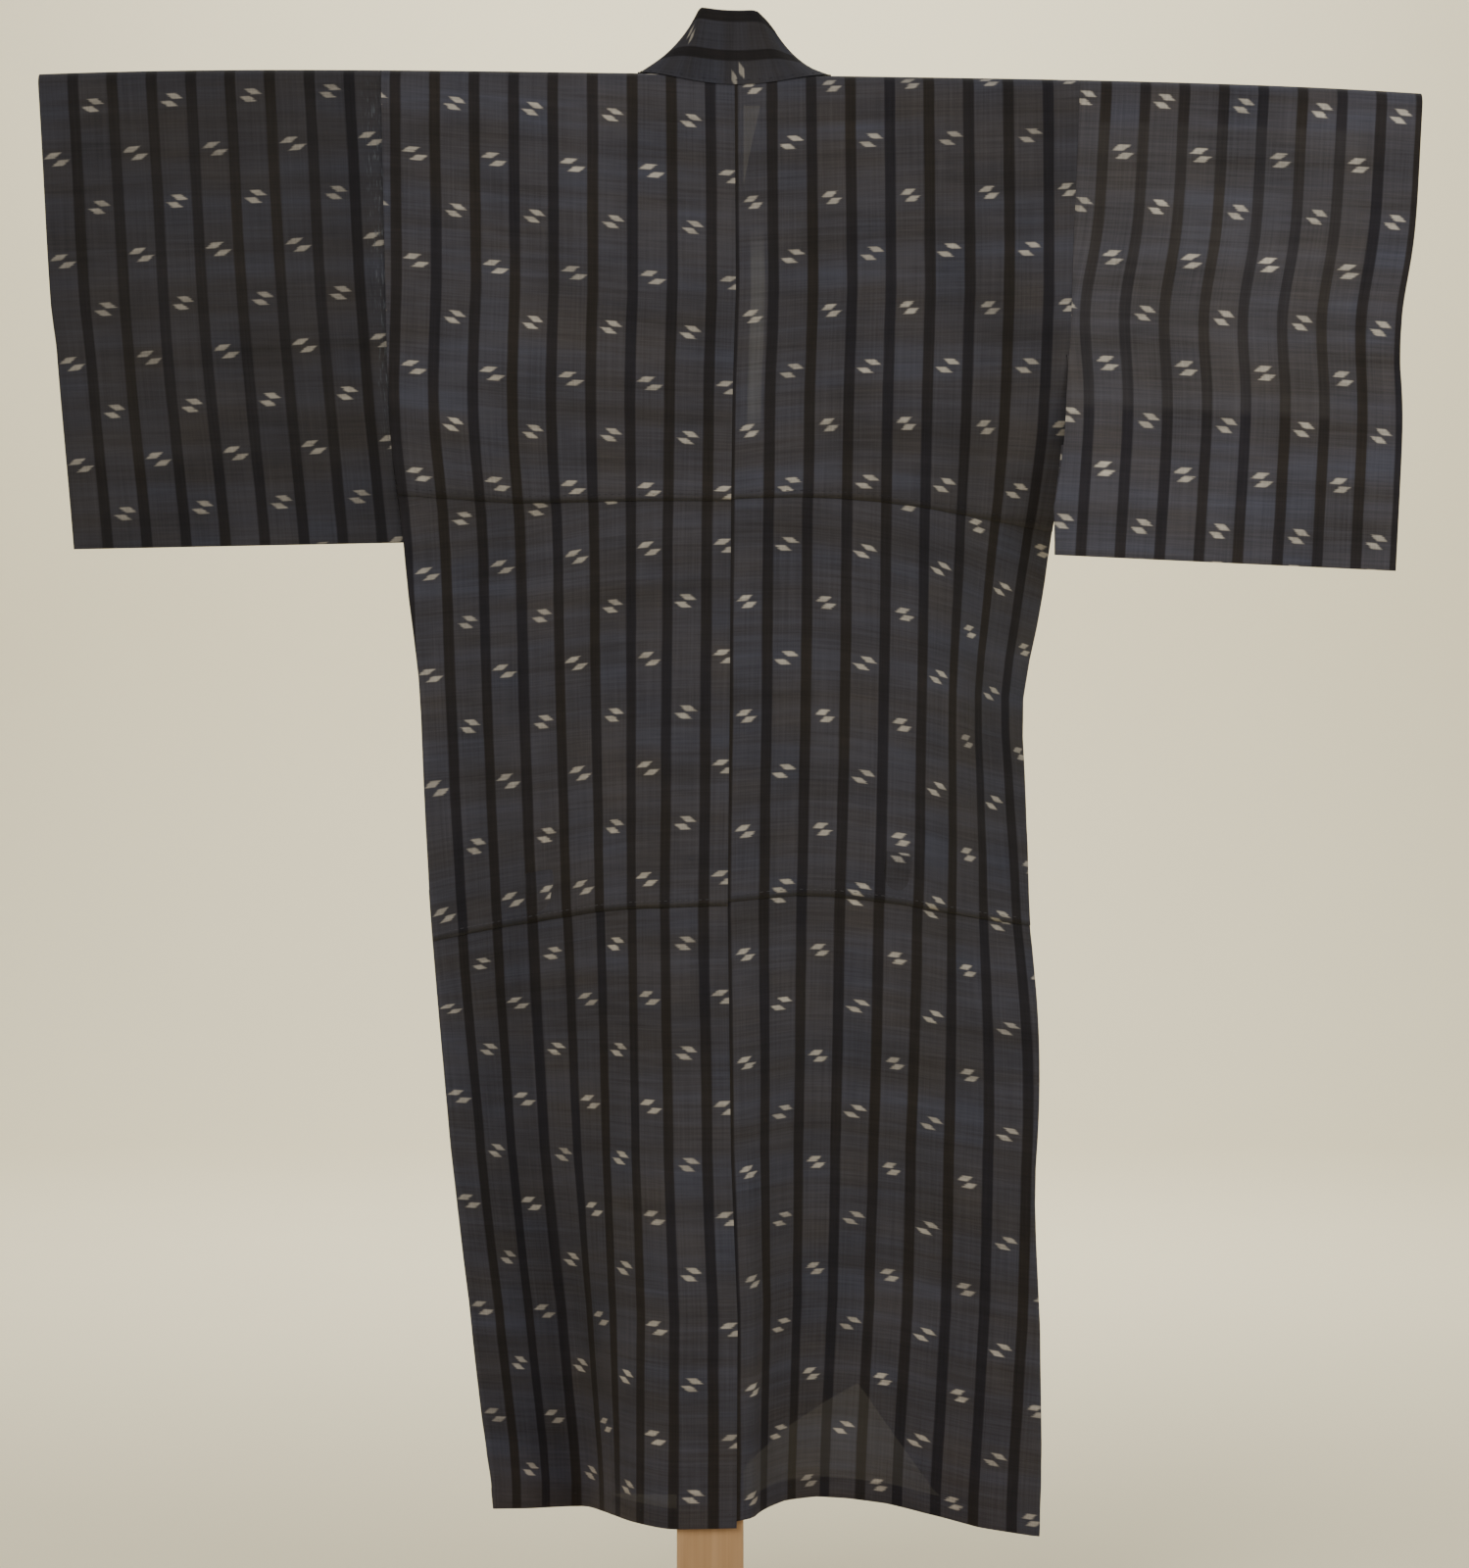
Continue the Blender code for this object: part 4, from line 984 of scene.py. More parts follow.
# the sleeves
sleeves = {
    "columns": 52,
    "length": 0.427,
    "width": 0.3085,
    "wristOpening": 0.217,
    "bottomGap": 0.0013,     # half the space between the two layers, at the bottom and at the sewn wrist
    "wristGap": 0.0010,
    "taperStart": 0.16,
    "taperShare": 0.35,
    "wristShare": 0.78,
    "wristRun": 0.044,
    "ripple": 0.00022,
    # the sewn wrist's rows: how far past the edge, and how far from the middle between the two layers
    "wristSeam": ((0.0004, 0.0005), (0.0005, 0.00002), (0.0, 0.0004), (0.0, 0.0004), (0.0, 0.0005)),
    # the bottom's height at the armhole and at the wrist, the wrist edge's lean, how far it is drawn in, then
    # where it is drawn in most and over how much of it
    "left": (0.9985, 0.9925, 0.0310, -0.0035, 0.23, 0.15),
    "right": (0.9874, 0.9730, 0.0225, 0.0085, 0.212, 0.055),
    # down, and how far the inner edge stands off the body's: minus is in front of a side that falls away
    "standOff": {
        "left": ((0.28, 0.0003), (0.427, 0.0011)),
        "right": (
            (0.235, 0.0003), (0.262, -0.0008), (0.284, -0.0016), (0.329, -0.0026), (0.385, -0.0047),
            (0.402, -0.0020), (0.427, 0.0012),
        ),
    },
    # between which levels the armhole's seam gives way to a free, turned edge
    "freed": {"left": (0.272, 0.284), "right": (0.243, 0.265)},
    "creases": {
        "left": (
            (0.030, 0.05, 0.050, 0.36, 0.013, -0.0006), (0.130, 0.08, 0.118, 0.40, 0.015, 0.0005),
            (0.200, 0.10, 0.216, 0.38, 0.013, -0.0006), (0.060, 0.28, 0.150, 0.34, 0.012, 0.0004),
            (0.262, 0.06, 0.290, 0.10, 0.006, -0.0012), (0.264, 0.10, 0.292, 0.13, 0.006, 0.0010),
            (0.258, 0.15, 0.292, 0.18, 0.007, -0.0012), (0.262, 0.20, 0.292, 0.23, 0.006, 0.0011),
            (0.256, 0.25, 0.290, 0.27, 0.007, -0.0012), (0.264, 0.30, 0.292, 0.33, 0.006, 0.0009),
            (0.272, 0.05, 0.268, 0.40, 0.007, -0.0010), (0.286, 0.04, 0.284, 0.41, 0.005, 0.0008),
        ),
        "right": (
            (0.036, 0.16, 0.020, 0.26, 0.010, -0.0007), (0.100, 0.06, 0.108, 0.38, 0.014, 0.0005),
            (0.180, 0.07, 0.170, 0.40, 0.014, -0.0006), (0.240, 0.05, 0.246, 0.36, 0.012, 0.0005),
            (0.284, 0.10, 0.292, 0.27, 0.008, -0.0007), (0.060, 0.30, 0.180, 0.36, 0.014, 0.0004),
        ),
    },
}
# the sleeves' lighter stretches are painted light: light from behind showing through a single layer of cloth
paintedLightLeft, paintedLightRight = (0.062, 0.056, 0.056), (0.066, 0.062, 0.064)
sleeveFinish = {
    # light=0.70 paints the left sleeve darker, painted shade, and light=1.38 paints the right sleeve lighter,
    # painted light
    "left": kasuriCloth(
        "sleeveClothLeft", 0.0305, 0.0891, (0.0874, 0.0430), marksLeft, slope=0.052, light=0.70, seed=83.0,
        leaks=(0.290, 0.311, 0.03, 0.345),
        lighterStretches=((0.030, 0.262, 0.036, 0.352, (0.03, 0.03), 0.18, paintedLightLeft),),
    ),
    "right": kasuriCloth(
        "sleeveClothRight", 0.0006, 0.0927, (0.0786, 0.0330), marksSleeve, flip=-1.0, slope=0.0208,
        light=1.38, seed=131.0,
        lighterStretches=((0.046, 0.400, 0.048, 0.297, (0.006, 0.006), 0.20, paintedLightRight),),
    ),
}


def sleevePoints(half, share, down, side):
    sign = sideOf[half]
    bottomIn, bottomOut, lean, drawnIn, drawnAt, drawnRun = sleeves[half]
    length = sleeves["length"]
    edgeX = float(np.interp(down, levelList, sideTable[half][:, 0]))
    innerX = edgeX + sign * float(column(sleeves["standOff"][half], 1, down))
    outerX = sideTable[half][0, 0] + sign * (sleeves["width"] - lean * down / length)
    outerX -= sign * drawnIn * math.exp(-(((down - drawnAt) / drawnRun) ** 2))
    x = innerX + (outerX - innerX) * share
    openHalf, z = overBar(x, down, side)
    if down > quarterTurn:
        low = bottomIn + (bottomOut - bottomIn) * share
        z = barZ(x) + (low - barZ(x)) * (down - quarterTurn) / (length - quarterTurn)
    taper = eased(0.0, sleeves["taperShare"], share)
    starts = back["armholeEnd"] + (sleeves["taperStart"] - back["armholeEnd"]) * taper
    bottom = eased(starts, length, down)
    opening = sleeves["wristOpening"]
    sewnShut = float(eased(opening, opening + sleeves["wristRun"], down))
    wrist = eased(sleeves["wristShare"], 1.0, share) * sewnShut
    halfGap = sleeves["bottomGap"] + (hang["foldRadius"] - sleeves["bottomGap"]) * (1.0 - bottom)
    halfGap = sleeves["wristGap"] + (halfGap - sleeves["wristGap"]) * (1.0 - wrist)
    return np.stack([x, openHalf * halfGap / hang["foldRadius"], z], -1), np.abs(outerX - x)


def sleeveGrid(half):
    share = np.arange(sleeves["columns"] + 1) / sleeves["columns"]
    layer = hungDowns(sleeves["length"])
    loop = [(down, -1.0) for down in reversed(layer)] + [(down, 1.0) for down in layer[1:]]
    place, across, along = [], [], []
    for down, side in loop:
        points, fromWrist = sleevePoints(half, share, down, side)
        place.append(points)
        across.append(fromWrist)
        along.append(np.full(len(share), -side * down))
    place, across, along = np.array(place), np.array(across), np.array(along)
    down = np.abs(along)
    signed = np.array([side for _, side in loop])
    normal = unit(np.cross(np.gradient(place, axis=0), np.gradient(place, axis=1)))
    if normal[: len(layer) // 2, :, 1].mean() > 0:
        normal = -normal
    relief = softCreases(across, down, sleeves["creases"][half], 5.0)
    phase = 6.0 if half == "left" else 7.5
    relief += slowRipple(across, down + 0.3 * signed[:, None], sleeves["ripple"], phase)
    relief *= eased(0.015, 0.06, down) * eased(0.0, 0.02, sleeves["length"] - down) * eased(0.0, 0.02, across)
    relief *= 1.0 - 0.7 * eased(0.25, 0.42, down)
    place = place + normal * relief[..., None]
    # the two layers meet in a fold at the bottom
    bottomBack, bottomFront = place[0].copy(), place[-1].copy()
    joins = [bottomFront + (0.0, -0.0004, -0.0007), bottomBack + (0.0, 0.0004, -0.0007), bottomBack]
    place = np.concatenate([place, joins])
    across = np.concatenate([across, [across[-1]] * 3])
    along = np.concatenate([along, [along[-1] - 0.0008 * k for k in (1, 2, 3)]])
    normal = np.concatenate([normal, [normal[-1], normal[0], normal[0]]])
    signed = np.concatenate([signed, [1.0, -1.0, -1.0]])
    down = np.concatenate([down[:, 0], [sleeves["length"]] * 3])
    # the wrist: a turned hem round the opening, and a seam below it
    edge, out = place[:, -1], normal[:, -1]
    ahead = unit(edge - place[:, -2])
    hem = rolled(edge, ahead, out)
    hem += [place[:, -1 - k] - normal[:, -1 - k] * seams["turnGap"] for k in range(3)]
    sewn = []
    for k, (push, depth) in enumerate(sleeves["wristSeam"]):
        spot = (place[:, -1 - max(k - 2, 0)] + ahead * push).copy()
        spot[:, 1] = signed * depth
        sewn.append(spot)
    closing = eased(sleeves["wristOpening"], sleeves["wristOpening"] + 0.02, down)[:, None]
    more = np.stack([a * (1.0 - closing) + b * closing for a, b in zip(hem, sewn)], 1)
    # the armhole: sewn on behind the body's edge down to where the sleeve comes free
    under = runUnder([place, across, along, normal], "columnStart")
    freed = turnedIn([place, across, along, normal], "columnStart", 1)
    share = eased(*sleeves["freed"][half], down)[:, None]
    inner = []
    for sewnOn, loose in zip(under[:3], freed[:3]):
        part = share[..., None] if sewnOn.ndim == 3 else share
        inner.append(sewnOn * (1.0 - part) + loose * part)
    place = np.concatenate([inner[0], more], 1)
    last = across[:, -1:]
    beside = [last - 0.0005, last - 0.001, last, across[:, -2:-1], across[:, -3:-2]]
    across = np.concatenate([inner[1]] + beside, 1)
    along = np.concatenate([inner[2]] + [along[:, -1:]] * 5, 1)
    normal = np.concatenate([under[3]] + [normal[:, -1:]] * 5, 1)
    return [place, across, along, normal]


for half in ("left", "right"):
    grid = sleeveGrid(half)
    tube = clothObject(f"sleeve{half.capitalize()}", [grid], sleeveFinish[half], (half == "left",))
    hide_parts(f"sleeve_{half}")
    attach(tube, "root")
print("sleeves are in")


# overlap panels at the front edges
overlap = {
    "columns": 24,
    "firstRow": 0.010,       # below the point, which lies under the collar
    "ripple": 0.00022,
    "finish": {
        "left": kasuriCloth("overlapClothLeft", 0.0300, 0.0960, (0.020, 0.068), marksLeft, seed=171.0),
        "right": kasuriCloth(
            "overlapClothRight", 0.0260, 0.1015, (0.060, 0.009), marksRight, flip=-1.0, seed=199.0,
        ),
    },
    "creases": {
        "left": ((0.05, 0.62, 0.07, 1.10, 0.014, -0.0010), (0.10, 0.72, 0.11, 1.20, 0.013, 0.0010)),
        "right": ((0.05, 0.60, 0.06, 1.05, 0.013, 0.0010), (0.09, 0.76, 0.10, 1.18, 0.012, -0.0010)),
    },
}
for half in ("left", "right"):
    top = fronts["overlapStart"] + overlap["firstRow"]
    count = int(round((back["length"] - top) / back["cell"]))
    downs = [top + (back["length"] - top) * j / count for j in range(count + 1)]
    place, across, along = [], [], []
    for down in downs:
        seamX = float(frontInnerX(half, down)) - sideOf[half] * fronts["halfSeam"]
        edgeX = float(overlapEdgeX(half, down))
        x = seamX + (edgeX - seamX) * np.arange(overlap["columns"] + 1) / overlap["columns"]
        place.append(frontPoints(half, x, down))
        across.append(np.abs(edgeX - x))
        along.append(np.full(len(x), -down))
    place, across, along = np.array(place), np.array(across), np.array(along)
    normal = faceOut(place, (0.0, 1.0, 0.0))
    relief = softCreases(across, -along, overlap["creases"][half], 7.0)
    relief += slowRipple(across, -along, overlap["ripple"], 8.0)
    fromSeam = np.abs(place[..., 0] - place[:, :1, 0])
    relief *= eased(0.0, 0.02, fromSeam) * eased(0.0, 0.02, across)
    place = place + normal * relief[..., None]
    grid = turnedIn([place, across, along, normal], "rowEnd", 3)
    hemPaths.append(grid[0][-9, 2:-2] + grid[3][-9, 2:-2] * seams["onFace"])
    grid = turnedIn(grid, "columnEnd", 1)
    grid = runUnder(grid, "columnStart")
    panel = clothObject(f"overlap{half.capitalize()}", [grid], overlap["finish"][half], (half == "right",))
    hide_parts(f"overlap_{half}")
    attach(panel, "root")
print("overlap panels are in")


# the collar: a folded band, two layers thick
collar = {
    "columns": 12,           # across each layer
    "wall": 0.0024,
    "layer": 0.0010,         # from the band's middle to each layer
    "gap": 0.0004,
    "lift": 0.0009,
    "liftFade": (0.05, 0.12),
    "flatFrom": 0.16,
    "onCloth": 0.0022,       # how far its edge lies over the cloth it is sewn to
    # share of the neck's half width, how far the band leans in, forward and up
    "lean": {
        "left": (
            (0.00, 0.00, 0.06, 1.00), (0.25, 0.04, 0.06, 0.99), (0.50, 0.20, 0.07, 0.95),
            (0.75, 0.46, 0.08, 0.85), (1.00, 0.74, 0.08, 0.67),
        ),
        "right": (
            (0.00, 0.00, 0.06, 1.00), (0.25, 0.11, 0.06, 0.99), (0.50, 0.34, 0.07, 0.94),
            (0.75, 0.58, 0.08, 0.82), (1.00, 0.77, 0.08, 0.65),
        ),
    },
    # how far the band hollows between its edges beside the neck, and from where to where along it
    "hollow": {"left": 0.0035, "right": 0.0075},
    "hollowSpan": (0.035, 0.070, 0.086, 0.111),
    "shoulderLean": (0.78, 0.08, 0.62),
    # light=0.72 paints the collar darker than the body: painted shade
    "finish": kasuriCloth(
        "collarCloth", 0.0050, 0.1080, (0.0030, -0.0530), marksLeft, flip=-1.0, light=0.72, seed=233.0,
        bare=(0.008, 0.038, 0.030, 0.075),
    ),
}


def neckLine(half):
    # from the collar's end on the front to the centre back: edge point, outward normal, the band's direction
    sign = sideOf[half]
    width = fronts["collarWidth"]
    leanAcross, leanForward, leanRise = collar["shoulderLean"]
    line = []
    below = np.arange(quarterTurn + back["cell"], fronts["collarEnd"] + 1e-6, back["cell"])
    below = below + (fronts["collarEnd"] - below[-1]) * (below - quarterTurn) / (below[-1] - quarterTurn)
    for down in [*below[::-1], *(quarterTurn * j / 6 for j in range(6, 0, -1))]:
        x = float(collarSeamX(half, down))
        turn = min(down / hang["foldRadius"], math.pi / 2)
        slope = fronts["collarSlope"] + 2 * fronts["collarCurve"] * down
        slant = math.hypot(1.0, slope)
        flat = float(eased(quarterTurn, collar["flatFrom"], down))
        across = leanAcross + (1.0 / slant - leanAcross) * flat
        rise = leanRise + (slope / slant - leanRise) * flat
        point = frontPoints(half, [x], down)[0]
        higher = max(down - rise * width, quarterTurn)
        forward = 0.0
        if flat > 0:
            forward = float(frontDepth(half, np.array([x - sign * across * width]), higher)[0]) - point[1]
        aim = (-sign * across, forward / width + leanForward * (1.0 - flat), rise)
        line.append((point, (0.0, math.sin(turn), math.cos(turn)), aim))
    for k in range(back["neckColumns"], -1, -1):
        share = k / back["neckColumns"]
        out = back["neckHalfWidth"] * share
        down = back["neckDip"] * (1.0 - share**2)
        turn = down / hang["foldRadius"]
        across, forward, rise = (float(column(collar["lean"][half], part, share)) for part in (1, 2, 3))
        point = backSection(half, [max(out, 0.00015)], down)[0]
        line.append((point, (0.0, -math.sin(turn), math.cos(turn)), (-sign * across, forward, rise)))
    return line


leftLine, rightLine = neckLine("left"), neckLine("right")
middle = ((leftLine[-1][0] + rightLine[-1][0]) / 2, leftLine[-1][1], leftLine[-1][2])
line = leftLine[:-1] + [middle] + rightLine[-2::-1]
edge = np.array([entry[0] for entry in line])
outward = np.array([entry[1] for entry in line])
aims = unit(np.array([entry[2] for entry in line]))
onward = unit(np.gradient(edge, axis=0))
inward = unit(np.cross(outward, onward))
inward *= np.sign((inward * aims).sum(-1, keepdims=True))
bandFace = unit(np.cross(onward, aims))
bandFace *= np.sign((bandFace * outward).sum(-1, keepdims=True))
away = collar["gap"] + collar["wall"] / 2 * np.abs((bandFace * inward).sum(-1, keepdims=True))
belowNeck = edge[len(edge) // 2, 2] - edge[:, 2:3]
lift = collar["lift"] * (1.0 - eased(*collar["liftFade"], belowNeck))
seamLine = edge + inward * away + outward * lift
steps = np.concatenate([[0.0], np.cumsum(np.linalg.norm(np.diff(edge, axis=0), axis=1))])
steps -= steps[len(edge) // 2]
layer, width = collar["layer"], fronts["collarWidth"]
hollowDepth = np.where(steps < 0, collar["hollow"]["left"], collar["hollow"]["right"])
starts, full, fades, over = collar["hollowSpan"]
hollowDepth *= eased(starts, full, np.abs(steps)) * (1.0 - eased(fades, over, np.abs(steps)))


def acrossBand(distance):
    # a point across the band, which hollows a little beside the neck
    hollow = np.sin(math.pi * min(distance / width, 1.0)) * hollowDepth[:, None]
    return seamLine + aims * distance - bandFace * hollow


distances = np.linspace(0.0, width, collar["columns"] + 1)
bandRows = [(edge - inward * collar["onCloth"] + outward * (layer + 0.0002), width + collar["onCloth"])]
for distance in distances:
    bandRows.append((acrossBand(distance) + bandFace * layer, width - distance))
for reach, face in ((0.0006, 0.6), (0.0009, 0.0), (0.0006, -0.6)):
    bandRows.append((seamLine + aims * (width + reach) + bandFace * layer * face, -0.0003))
for distance in distances[::-1]:
    bandRows.append((acrossBand(distance) - bandFace * layer, distance - width - 0.0006))
bandRows.append((edge - inward * collar["onCloth"] - outward * (layer - 0.0001), -width - collar["onCloth"]))
place = np.array([row[0] for row in bandRows])
across = np.array([np.full(len(edge), row[1]) for row in bandRows])
along = np.array([steps for _ in bandRows])
# both ends are closed: the layers come together just past the last stitch
ends = []
for k, sign in ((0, -1.0), (-1, 1.0)):
    centre = seamLine[k] + aims[k] * np.clip(width - np.abs(across[:, k]), 0.0, width)[:, None]
    ends.append(centre + (place[:, k] - centre) * 0.25 + sign * onward[k] * 0.0008)
place = np.concatenate([ends[0][:, None], place, ends[1][:, None]], 1)
across = np.concatenate([across[:, :1], across, across[:, -1:]], 1)
along = np.concatenate([along[:, :1] - 0.0008, along, along[:, -1:] + 0.0008], 1)
band = clothObject("collarBand", [[place, across, along, place]], collar["finish"], (False,))
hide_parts("collar")
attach(band, "root")
print("collar is in")

# hand stitches
stitching = {
    # spacing, length, radius, colour
    "hemStitches": (0.020, 0.0022, 0.00028, (0.030, 0.030, 0.042)),
    "upperTuckStitches": (0.0064, 0.0036, 0.00024, (0.020, 0.019, 0.026)),
    "lowerTuckStitches": (0.0062, 0.0040, 0.00026, (0.085, 0.085, 0.100)),
    "collarStitches": (0.010, 0.0030, 0.00026, (0.030, 0.030, 0.042)),
    "seed": 7,
    "uneven": (0.36, 0.58),  # the least and the most of its length that a stitch reaches each way
    "segments": 6,
    "rings": 4,
}


def stitchNodes():
    # a short rounded stitch at even steps along each path
    tree = bpy.data.node_groups.new("stitchesAlongPath", "GeometryNodeTree")
    tree.interface.new_socket("Geometry", in_out="INPUT", socket_type="NodeSocketGeometry")
    for name in ("Spacing", "Length", "Radius"):
        tree.interface.new_socket(name, in_out="INPUT", socket_type="NodeSocketFloat")
    tree.interface.new_socket("Seed", in_out="INPUT", socket_type="NodeSocketInt")
    tree.interface.new_socket("Thread", in_out="INPUT", socket_type="NodeSocketMaterial")
    tree.interface.new_socket("Geometry", in_out="OUTPUT", socket_type="NodeSocketGeometry")
    kinds = {
        "given": "NodeGroupInput", "curve": "GeometryNodeMeshToCurve", "steps": "GeometryNodeResampleCurve",
        "tangent": "GeometryNodeInputTangent", "turn": "FunctionNodeAlignRotationToVector",
        "wobble": "FunctionNodeRandomValue", "size": "ShaderNodeCombineXYZ", "half": "ShaderNodeMath",
        "bead": "GeometryNodeMeshUVSphere", "place": "GeometryNodeInstanceOnPoints",
        "real": "GeometryNodeRealizeInstances", "smooth": "GeometryNodeSetShadeSmooth",
        "paint": "GeometryNodeSetMaterial", "result": "NodeGroupOutput",
    }
    nodes = {}
    for k, (name, kind) in enumerate(kinds.items()):
        nodes[name] = tree.nodes.new(kind)
        nodes[name].name = name
        nodes[name].location = (200 * k, -40 * (k % 3))
    nodes["steps"].mode = "LENGTH"
    nodes["turn"].axis = "X"
    nodes["half"].operation = "MULTIPLY"
    nodes["wobble"].data_type = "FLOAT"
    low, high = [s for s in nodes["wobble"].inputs if s.type == "VALUE"][:2]
    low.default_value, high.default_value = stitching["uneven"]
    nodes["bead"].inputs["Segments"].default_value = stitching["segments"]
    nodes["bead"].inputs["Rings"].default_value = stitching["rings"]
    nodes["bead"].inputs["Radius"].default_value = 1.0
    wobble = next(s for s in nodes["wobble"].outputs if s.type == "VALUE" and s.enabled)
    join = tree.links.new
    given = nodes["given"].outputs
    join(given["Geometry"], nodes["curve"].inputs[0])
    join(nodes["curve"].outputs[0], nodes["steps"].inputs["Curve"])
    join(given["Spacing"], nodes["steps"].inputs["Length"])
    join(given["Seed"], nodes["wobble"].inputs["Seed"])
    join(nodes["tangent"].outputs[0], nodes["turn"].inputs["Vector"])
    join(given["Length"], nodes["half"].inputs[0])
    join(wobble, nodes["half"].inputs[1])
    join(nodes["half"].outputs[0], nodes["size"].inputs[0])
    join(given["Radius"], nodes["size"].inputs[1])
    join(given["Radius"], nodes["size"].inputs[2])
    join(nodes["steps"].outputs[0], nodes["place"].inputs["Points"])
    join(nodes["bead"].outputs[0], nodes["place"].inputs["Instance"])
    join(nodes["turn"].outputs[0], nodes["place"].inputs["Rotation"])
    join(nodes["size"].outputs[0], nodes["place"].inputs["Scale"])
    join(nodes["place"].outputs[0], nodes["real"].inputs[0])
    join(nodes["real"].outputs[0], nodes["smooth"].inputs[0])
    join(nodes["smooth"].outputs[0], nodes["paint"].inputs["Geometry"])
    join(given["Thread"], nodes["paint"].inputs["Material"])
    join(nodes["paint"].outputs[0], nodes["result"].inputs[0])
    return tree


def threadMaterial(name, colour):
    material, n, shader = newMaterial(name)
    twist = n.noise(n.add("ShaderNodeTexCoord").outputs["Object"], 2600.0, 2.0, 0.6)
    dark = tuple(0.6 * c for c in colour)
    n.plug(n.mix(twist, dark, colour), shader.inputs["Base Color"])
    shader.inputs["Roughness"].default_value = 0.8
    return material


stitchTree = stitchNodes()


def sewPaths(name, paths):
    spacing, length, radius, colour = stitching[name]
    points, edges = [], []
    for path in paths:
        first = len(points)
        points.extend(path.tolist())
        edges.extend((first + k, first + k + 1) for k in range(len(path) - 1))
    mesh = bpy.data.meshes.new(f"{name}Path")
    mesh.from_pydata(points, edges, [])
    run = bpy.data.objects.new(f"{name}Path", mesh)
    bpy.context.scene.collection.objects.link(run)
    modifier = run.modifiers.new("stitches", "NODES")
    modifier.node_group = stitchTree
    thread = threadMaterial(f"{name}Thread", colour)
    values = {"Spacing": spacing, "Length": length, "Radius": radius, "Thread": thread}
    values["Seed"] = stitching["seed"]
    for item in stitchTree.interface.items_tree:
        if item.in_out == "INPUT" and item.name in values:
            modifier[item.identifier] = values[item.name]
    solid = bpy.data.meshes.new_from_object(run.evaluated_get(bpy.context.evaluated_depsgraph_get()))
    bpy.data.objects.remove(run)
    sewn = bpy.data.objects.new(name, solid)
    bpy.context.scene.collection.objects.link(sewn)
    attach(sewn, "root")


sewPaths("hemStitches", hemPaths)
sewPaths("upperTuckStitches", tuckPaths[0])
sewPaths("lowerTuckStitches", tuckPaths[1])
sewPaths("collarStitches", [bandRows[1][0] + bandFace * 0.0002 + aims * 0.0012])
print("stitches are in")

# the wooden stand
wood = {
    "light": (0.66, 0.43, 0.225),
    "dark": (0.47, 0.275, 0.125),
    "ringScale": 46.0,
    "broad": (0.9, 14.0),    # how fine the rings and the pores are, along the grain and across it
    "fine": (4.0, 420.0),
    "roughness": (0.42, 0.62),
    "bump": (0.25, 0.0004),
}


def standWood(name, lengthwise):
    # grain runs along one axis of the piece
    material, n, shader = newMaterial(name)
    place = n.add("ShaderNodeTexCoord").outputs["Object"]
    split = n.add("ShaderNodeSeparateXYZ")
    n.plug(place, split.inputs[0])
    axes = [split.outputs[k] for k in range(3)]

    def alongGrain(fineness):
        # the place on the piece, drawn out along its grain
        along, across = fineness
        scales = [along if k == lengthwise else across for k in range(3)]
        return n.point(*(n.math("MULTIPLY", axis, scale) for axis, scale in zip(axes, scales)))

    broad = n.noise(alongGrain(wood["broad"]), 1.0, 3.0, 0.55)
    pores = n.noise(alongGrain(wood["fine"]), 1.0, 2.0, 0.6)
    waves = n.math("SINE", n.math("MULTIPLY", broad, wood["ringScale"]))
    rings = n.math("ADD", n.math("MULTIPLY", waves, 0.5), 0.5)
    tone = n.math("ADD", n.math("MULTIPLY", rings, 0.35), n.math("MULTIPLY", pores, 0.55))
    n.plug(n.mix(n.clamp(tone), wood["light"], wood["dark"]), shader.inputs["Base Color"])
    n.plug(n.spread(pores, *wood["roughness"], 0.3, 0.7), shader.inputs["Roughness"])
    bump = n.add("ShaderNodeBump")
    bump.inputs["Strength"].default_value, bump.inputs["Distance"].default_value = wood["bump"]
    n.plug(n.math("ADD", pores, n.math("MULTIPLY", rings, 0.3)), bump.inputs["Height"])
    n.plug(bump.outputs[0], shader.inputs["Normal"])
    return material


for node, lengthwise in (("stand_bar", 0), ("stand_post", 2), ("stand_base", 0)):
    grain = standWood(f"{node}_wood", lengthwise)
    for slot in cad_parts[node].material_slots:
        slot.material = grain
print("wood is on the stand")

# floor, light and camera
studio = {
    "floor": (0.81, 0.745, 0.545),
    "world": (0.95, 0.93, 0.88),
    "worldStrength": 0.30,
    # place, aimed at, size, watts, colour
    "lights": {
        "key": ((-1.9, -2.9, 2.7), (0.0, 0.0, 0.8), 2.2, 70.0, (1.0, 0.96, 0.90)),
        "fill": ((2.6, -2.4, 1.5), (0.0, 0.0, 0.7), 2.6, 32.0, (0.95, 0.97, 1.0)),
        "behind": ((0.6, 2.2, 2.6), (0.0, 0.2, 0.9), 2.4, 26.0, (1.0, 0.97, 0.92)),
        "wall": ((0.0, 2.3, 3.8), (0.0, 5.0, 0.9), 2.6, 240.0, (1.0, 0.98, 0.94)),
    },
    "wallStart": 4.1,        # where the floor begins to sweep up
    "wallCurve": 1.2,
    "wallSteps": 12,
    "wallTop": 6.0,
    "floorEdge": (-6.0, 7.0),  # how far it reaches in front, and to each side
    "camera": (0.0022, -3.0144, 0.78),
    "lens": 76.7,
}


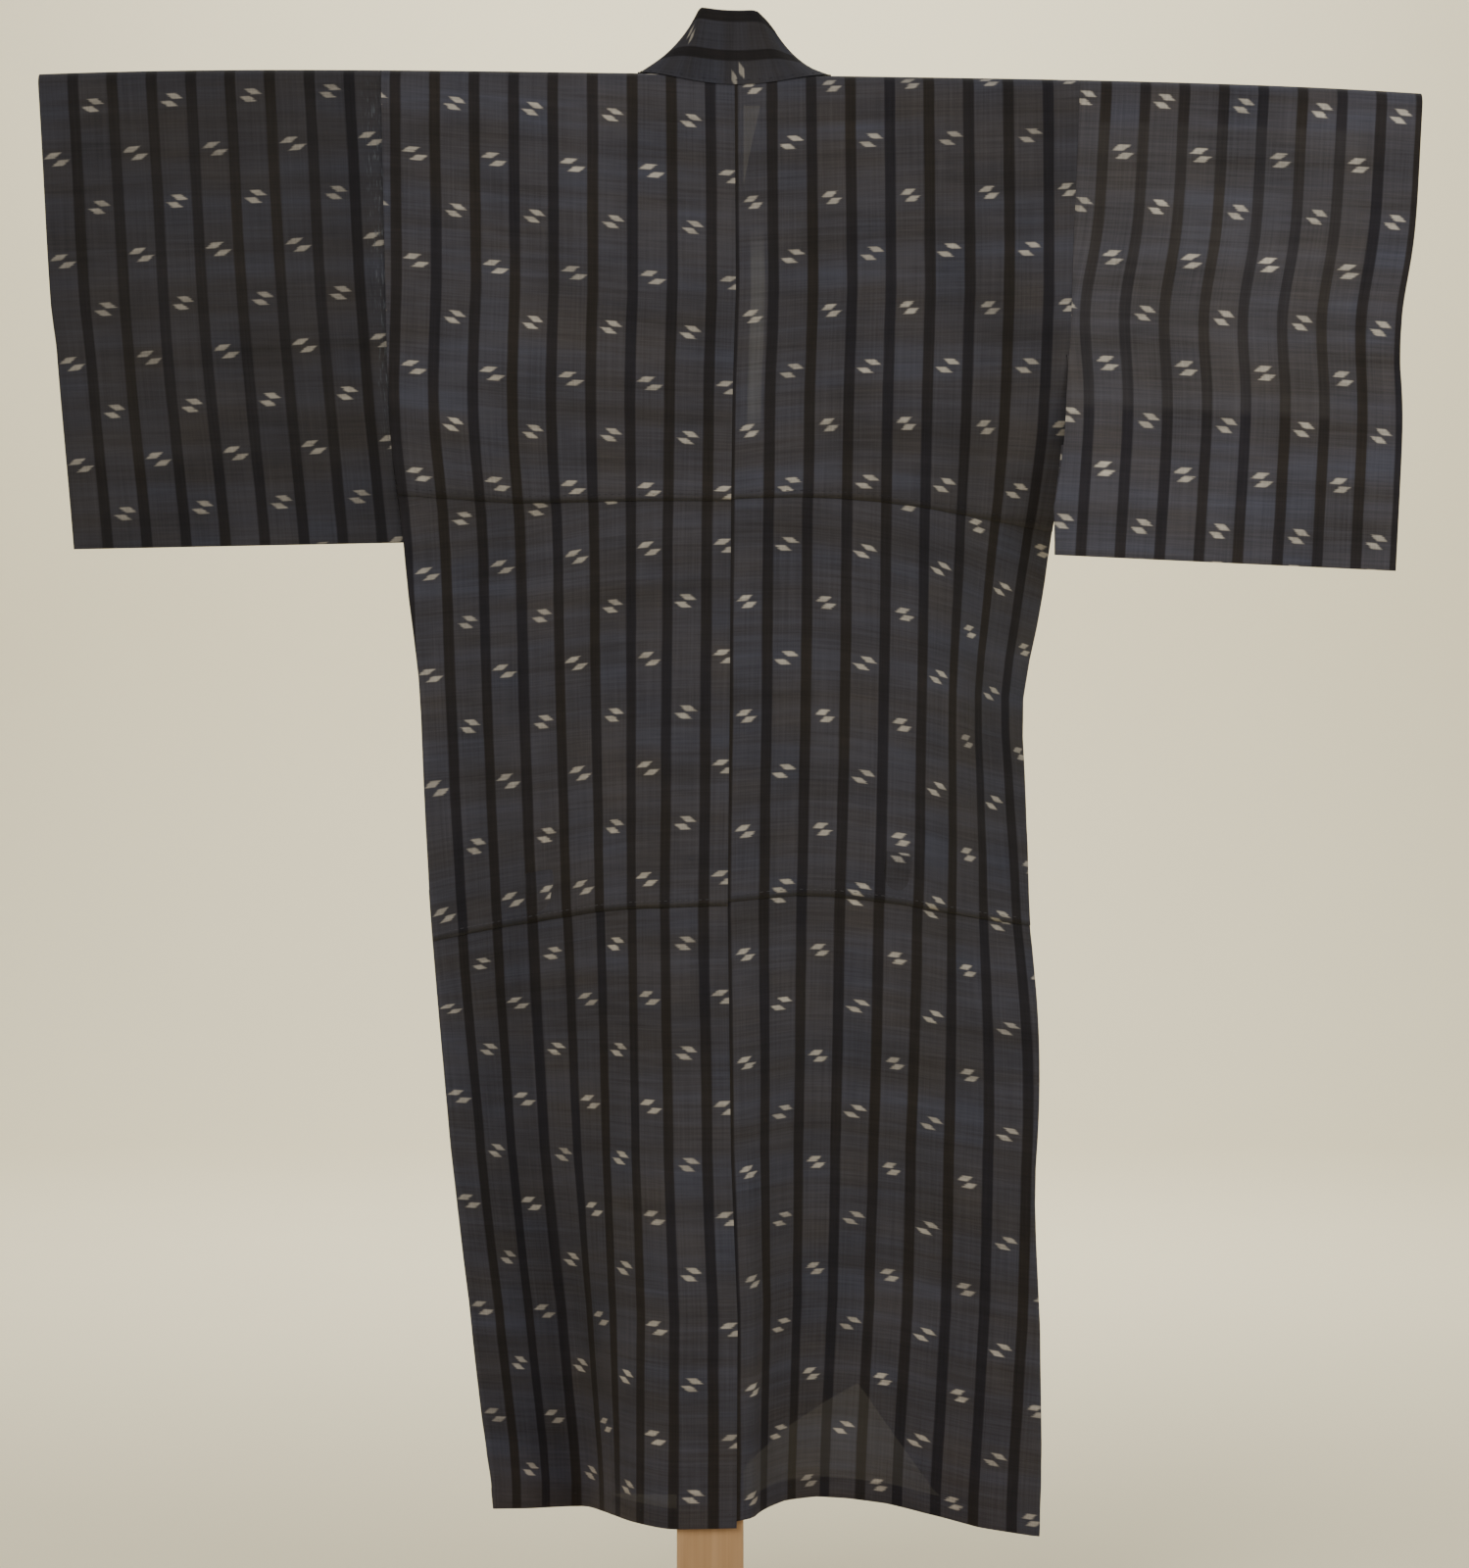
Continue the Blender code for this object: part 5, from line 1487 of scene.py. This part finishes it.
def seamlessFloor():
    # a floor that sweeps up into a wall well behind the stand
    start, radius, steps = studio["wallStart"], studio["wallCurve"], studio["wallSteps"]
    front, side = studio["floorEdge"]
    profile = [(front, 0.0), (start, 0.0)]
    for k in range(1, steps + 1):
        angle = math.pi / 2 * k / steps
        profile.append((start + radius * math.sin(angle), radius - radius * math.cos(angle)))
    profile.append((start + radius, studio["wallTop"]))
    work = bmesh.new()
    rows = [[work.verts.new((x, y, z)) for x in (-side, side)] for y, z in profile]
    for near, far in zip(rows, rows[1:]):
        work.faces.new((near[0], near[1], far[1], far[0]))
    mesh = bpy.data.meshes.new("studioFloor")
    work.to_mesh(mesh)
    work.free()
    mesh.shade_smooth()
    material, n, shader = newMaterial("palePaint")
    mottled = n.noise(n.add("ShaderNodeTexCoord").outputs["Object"], 3.0, 3.0, 0.5)
    tone = tuple(0.97 * c for c in studio["floor"])
    n.plug(n.mix(mottled, studio["floor"], tone), shader.inputs["Base Color"])
    shader.inputs["Roughness"].default_value = 0.92
    shader.inputs["Specular IOR Level"].default_value = 0.1
    mesh.materials.append(material)
    floor = bpy.data.objects.new("studioFloor", mesh)
    bpy.context.scene.collection.objects.link(floor)


seamlessFloor()
for name, (spot, target, size, watts, colour) in studio["lights"].items():
    lamp = bpy.data.lights.new(name, "AREA")
    lamp.shape = "SQUARE"
    lamp.size = size
    lamp.energy = watts
    lamp.color = colour
    held = bpy.data.objects.new(name, lamp)
    held.location = spot
    held.rotation_euler = (Vector(target) - Vector(spot)).to_track_quat("-Z", "Y").to_euler()
    bpy.context.scene.collection.objects.link(held)
world = bpy.data.worlds.new("studio")
world.use_nodes = True
world.node_tree.nodes["Background"].inputs["Color"].default_value = (*studio["world"], 1.0)
world.node_tree.nodes["Background"].inputs["Strength"].default_value = studio["worldStrength"]
bpy.context.scene.world = world
view = bpy.data.cameras.new("photoView")
view.sensor_width = 36.0
view.lens = studio["lens"]
view.clip_end = 50.0
viewer = bpy.data.objects.new("photoView", view)
viewer.location = studio["camera"]
viewer.rotation_euler = (math.pi / 2, 0.0, 0.0)
bpy.context.scene.collection.objects.link(viewer)
bpy.context.scene.camera = viewer
print("stage is set")
